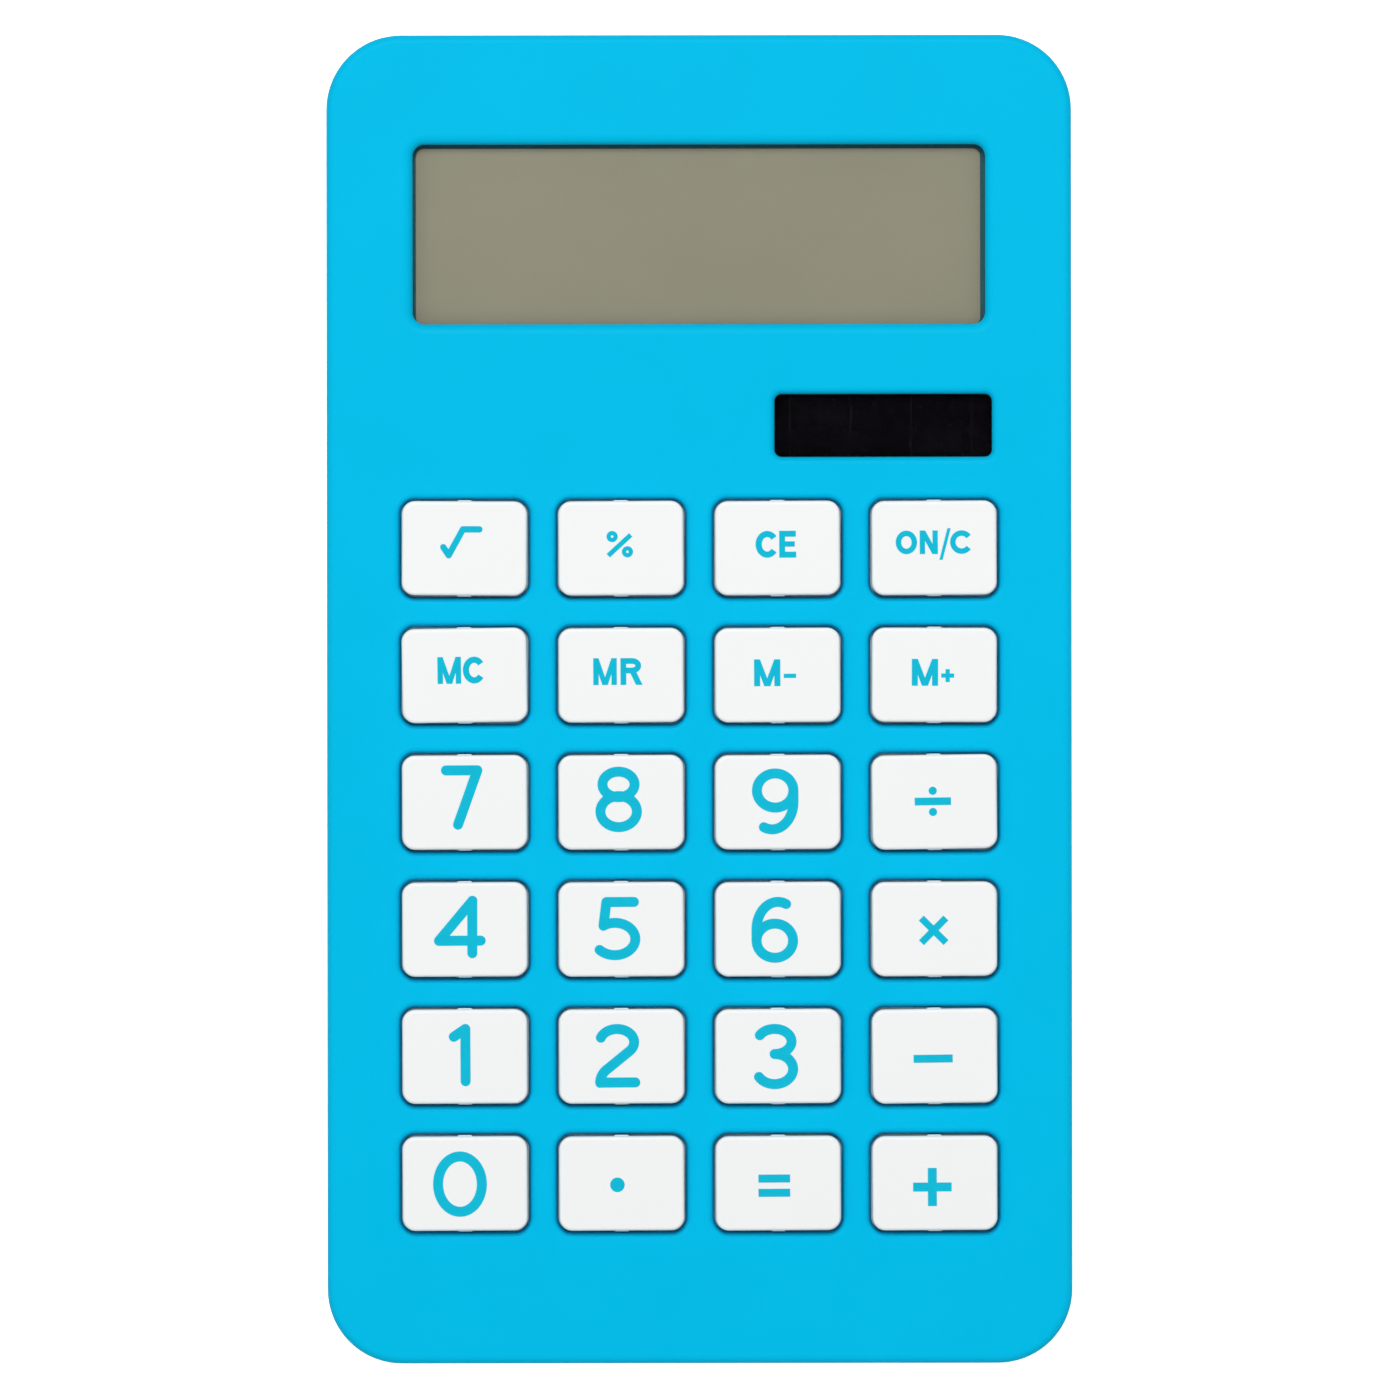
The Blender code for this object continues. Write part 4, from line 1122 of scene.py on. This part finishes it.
def cross(width, reach, turn, z):
    """Ring round a cross recess, with as many points as the screw's head has sides."""
    arm = width / 2
    flare = arm * 1.6
    quarter = [(reach, -arm / 3), (reach, arm / 3), (reach, arm)]
    quarter += [(flare, arm), (arm, arm), (arm, flare)]
    points = []
    for c, s in ((1, 0), (0, 1), (-1, 0), (0, -1)):
        points += [(c * px - s * py, s * px + c * py) for px, py in quarter]
    c, s = cos(turn), sin(turn)
    return ring([(c * px - s * py, s * px + c * py) for px, py in points], z)


def case_screws(finish):
    """Pan heads with a cross recess, seen up the counterbores; each stopped at its own angle."""
    head, shank, (low, high), tip = CASE_SCREW.values()
    profile = [(head * HEAD_FLAT, low)]
    for angle in CROWN_ANGLES:
        radius = head * (1 - CROWN_DROP * (1 - sin(angle)))
        profile.append((radius, low + GAP * (1 - cos(angle))))
    profile += [(head, high), (shank, high)]
    pitch = (tip - shank * 1.5 - high) / THREAD_TURNS
    for thread in range(THREAD_TURNS):
        z = high + thread * pitch
        profile += [(shank * part, z + rise * pitch) for rise, part in THREAD]
    profile += [(shank * 0.6, tip - shank), (shank * 0.1, tip)]
    for number in range(1, 5):
        node = f"case_screw_{number}"
        turn = SCREW_STOP_ANGLE * number
        rings = []
        for (width, reach), depth in ((RECESS_FLOOR, RECESS_DEPTH), (RECESS_MOUTH, 0.0)):
            z = low + (high - low) * depth
            rings.append(cross(head * width, head * reach, turn, z))
        angles = [turn + 2 * pi * step / SIDES["screw"] for step in range(SIDES["screw"])]
        rings += [[(r * cos(a), r * sin(a), z) for a in angles] for r, z in profile]
        mesh = lofted_mesh("screw", [rings])
        mesh.transform(Matrix.Translation((*centre_of(node), 0.0)))
        screw = place(f"housing_screw_{number}", mesh, finish)
        mount(screw, "case", "screw_steel", node)


def feet(finish):
    """Rubber discs with a rounded rim, and a dimple and a ring moulded in the face."""
    rim = upside_down(rounded_edge(FOOT_RIM_RADIUS, 0.0, 0.0, FOOT_RIM_STEPS)[::-1], 0.0)
    for number in range(1, 5):
        node = f"foot_{number}"
        radius = size_of(node)[0] / 2
        profile = [(radius * part, FOOT_GROOVE_DEPTH * sunk) for part, sunk in FOOT_FACE]
        profile += [(radius + outset, z) for outset, z in rim]
        profile.append((radius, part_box(node)[1].z))
        rings = turned(profile, SIDES["foot"], centre_of(node))
        mount(solid(f"rubber_{node}", finish, rings), "case", "foot_rubber", node)


def dress_inner_nodes(finishes):
    """The pieces inside keep their CAD shapes and take their slots' materials."""
    slots = {
        "lcd_reflector": "reflector_film", "lcd_bracket": "natural_plastic",
        "heat_seal_cable": "carbon_foil", "solar_pad": "grey_foam",
        "solar_wire_positive": "red_insulation", "solar_wire_negative": "black_insulation",
        "circuit_board": "board_laminate", "chip_blob": "epoxy",
        "filter_capacitor": "capacitor_sleeve", "clamp_diode": "diode_glass",
        "button_cell": "cell_steel", "battery_contact_positive": "nickel_spring",
        "battery_contact_negative": "nickel_spring",
    }
    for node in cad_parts:
        if node.startswith(("board_screw", "bracket_screw")):
            slots[node] = "screw_steel"
    for node, slot in slots.items():
        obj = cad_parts[node]
        for material_slot in obj.material_slots:
            material_slot.link = "OBJECT"
            material_slot.material = finishes[slot]


# ---- studio


def studio_floor():
    """A pale floor that is clear seen from beneath, so the underside can be looked at."""
    bm = bmesh.new()
    bmesh.ops.create_circle(bm, cap_ends=True, segments=FLOOR_SIDES, radius=FLOOR_RADIUS)
    low, high = ((shade,) * 3 for shade in FLOOR_SHADES)
    made, shader = new_material("studio_paper", low, 0.9, Specular_IOR_Level=0.0)
    paper = spread(noise(object_coordinates(shader), 40 * MM))
    paint(shader, blended(paper, low, high))
    shader.inputs["Emission Color"].default_value = (1.0, 1.0, 1.0, 1.0)
    shader.inputs["Emission Strength"].default_value = FLOOR_GLOW
    nodes = made.node_tree.nodes
    side = nodes.new("ShaderNodeNewGeometry")
    clear = nodes.new("ShaderNodeBsdfTransparent")
    mix = nodes.new("ShaderNodeMixShader")
    link(side.outputs["Backfacing"], mix.inputs[0])
    link(shader.outputs[0], mix.inputs[1])
    link(clear.outputs[0], mix.inputs[2])
    link(mix.outputs[0], nodes["Material Output"].inputs["Surface"])
    floor = place("studio_floor", mesh_from(bm, "studio_floor"), made)
    floor.visible_shadow = False
    floor.visible_diffuse = False


def aimed(name, data, azimuth, tilt):
    """A lamp aimed at the origin. Azimuth 0 stands on +Y and 90 on +X; tilt is from overhead."""
    around, down = radians(azimuth), radians(tilt)
    source = Vector((sin(around) * sin(down), cos(around) * sin(down), cos(down)))
    obj = linked(name, data)
    obj.location = source * LAMP_DISTANCE
    obj.rotation_euler = source.to_track_quat("Z", "Y").to_euler()


def studio_lights():
    """A round softbox near enough to fall off along the object, distant fills and a white room."""
    azimuth, tilt, irradiance = MAIN_LIGHT
    data = bpy.data.lights.new("main_light", "AREA")
    data.shape = "DISK"
    data.size = MAIN_LIGHT_SIZE
    data.energy = irradiance * pi * LAMP_DISTANCE**2
    aimed("main_light", data, azimuth, tilt)
    for name, (azimuth, tilt, strength, width) in LAMPS.items():
        data = bpy.data.lights.new(name, "SUN")
        data.energy = strength
        data.angle = radians(width)
        aimed(name, data, azimuth, tilt)
    world = bpy.data.worlds.new("studio")
    bpy.context.scene.world = world
    world.use_nodes = True
    nodes = world.node_tree.nodes
    background = nodes["Background"]
    background.inputs["Color"].default_value = (1.0, 1.0, 1.0, 1.0)
    direction = nodes.new("ShaderNodeTexCoord")
    split = nodes.new("ShaderNodeSeparateXYZ")
    link(direction.outputs["Generated"], split.inputs[0])
    room = spread(split.outputs["Z"], ROOM_LEVEL, 0.0, 0.0, 1.0)
    path = nodes.new("ShaderNodeLightPath")
    level = nodes.new("ShaderNodeMath")
    level.operation = "MAXIMUM"
    link(room, level.inputs[0])
    link(path.outputs["Is Camera Ray"], level.inputs[1])
    link(level.outputs[0], background.inputs["Strength"])


def camera():
    """Looks straight down and takes in FRAME_WIDTH at the height FRAME_Z."""
    data = bpy.data.cameras.new("camera")
    data.sensor_width = SENSOR_WIDTH
    data.lens = SENSOR_WIDTH * (CAMERA_HEIGHT - FRAME_Z) / FRAME_WIDTH
    data.clip_start = CAMERA_CLIP
    obj = linked("camera", data)
    obj.location = (*CAMERA_OFFSET, CAMERA_HEIGHT)
    obj.rotation_euler.z = radians(CAMERA_ROLL)
    bpy.context.scene.camera = obj


def build():
    finishes = all_materials()
    upper_shell(finishes["case_plastic"])
    lower_shell(finishes["case_plastic"])
    keys(finishes)
    domes(finishes["silicone"])
    windows(finishes["clear_window"])
    display_stack(finishes["display_glass"], finishes["display_seal_and_shade"])
    solar_plate(finishes["solar_glass"])
    door(finishes["case_plastic"])
    case_screws(finishes["screw_steel"])
    feet(finishes["foot_rubber"])
    dress_inner_nodes(finishes)
    studio_floor()
    studio_lights()
    camera()
    bpy.context.scene.view_settings.view_transform = "Standard"


build()
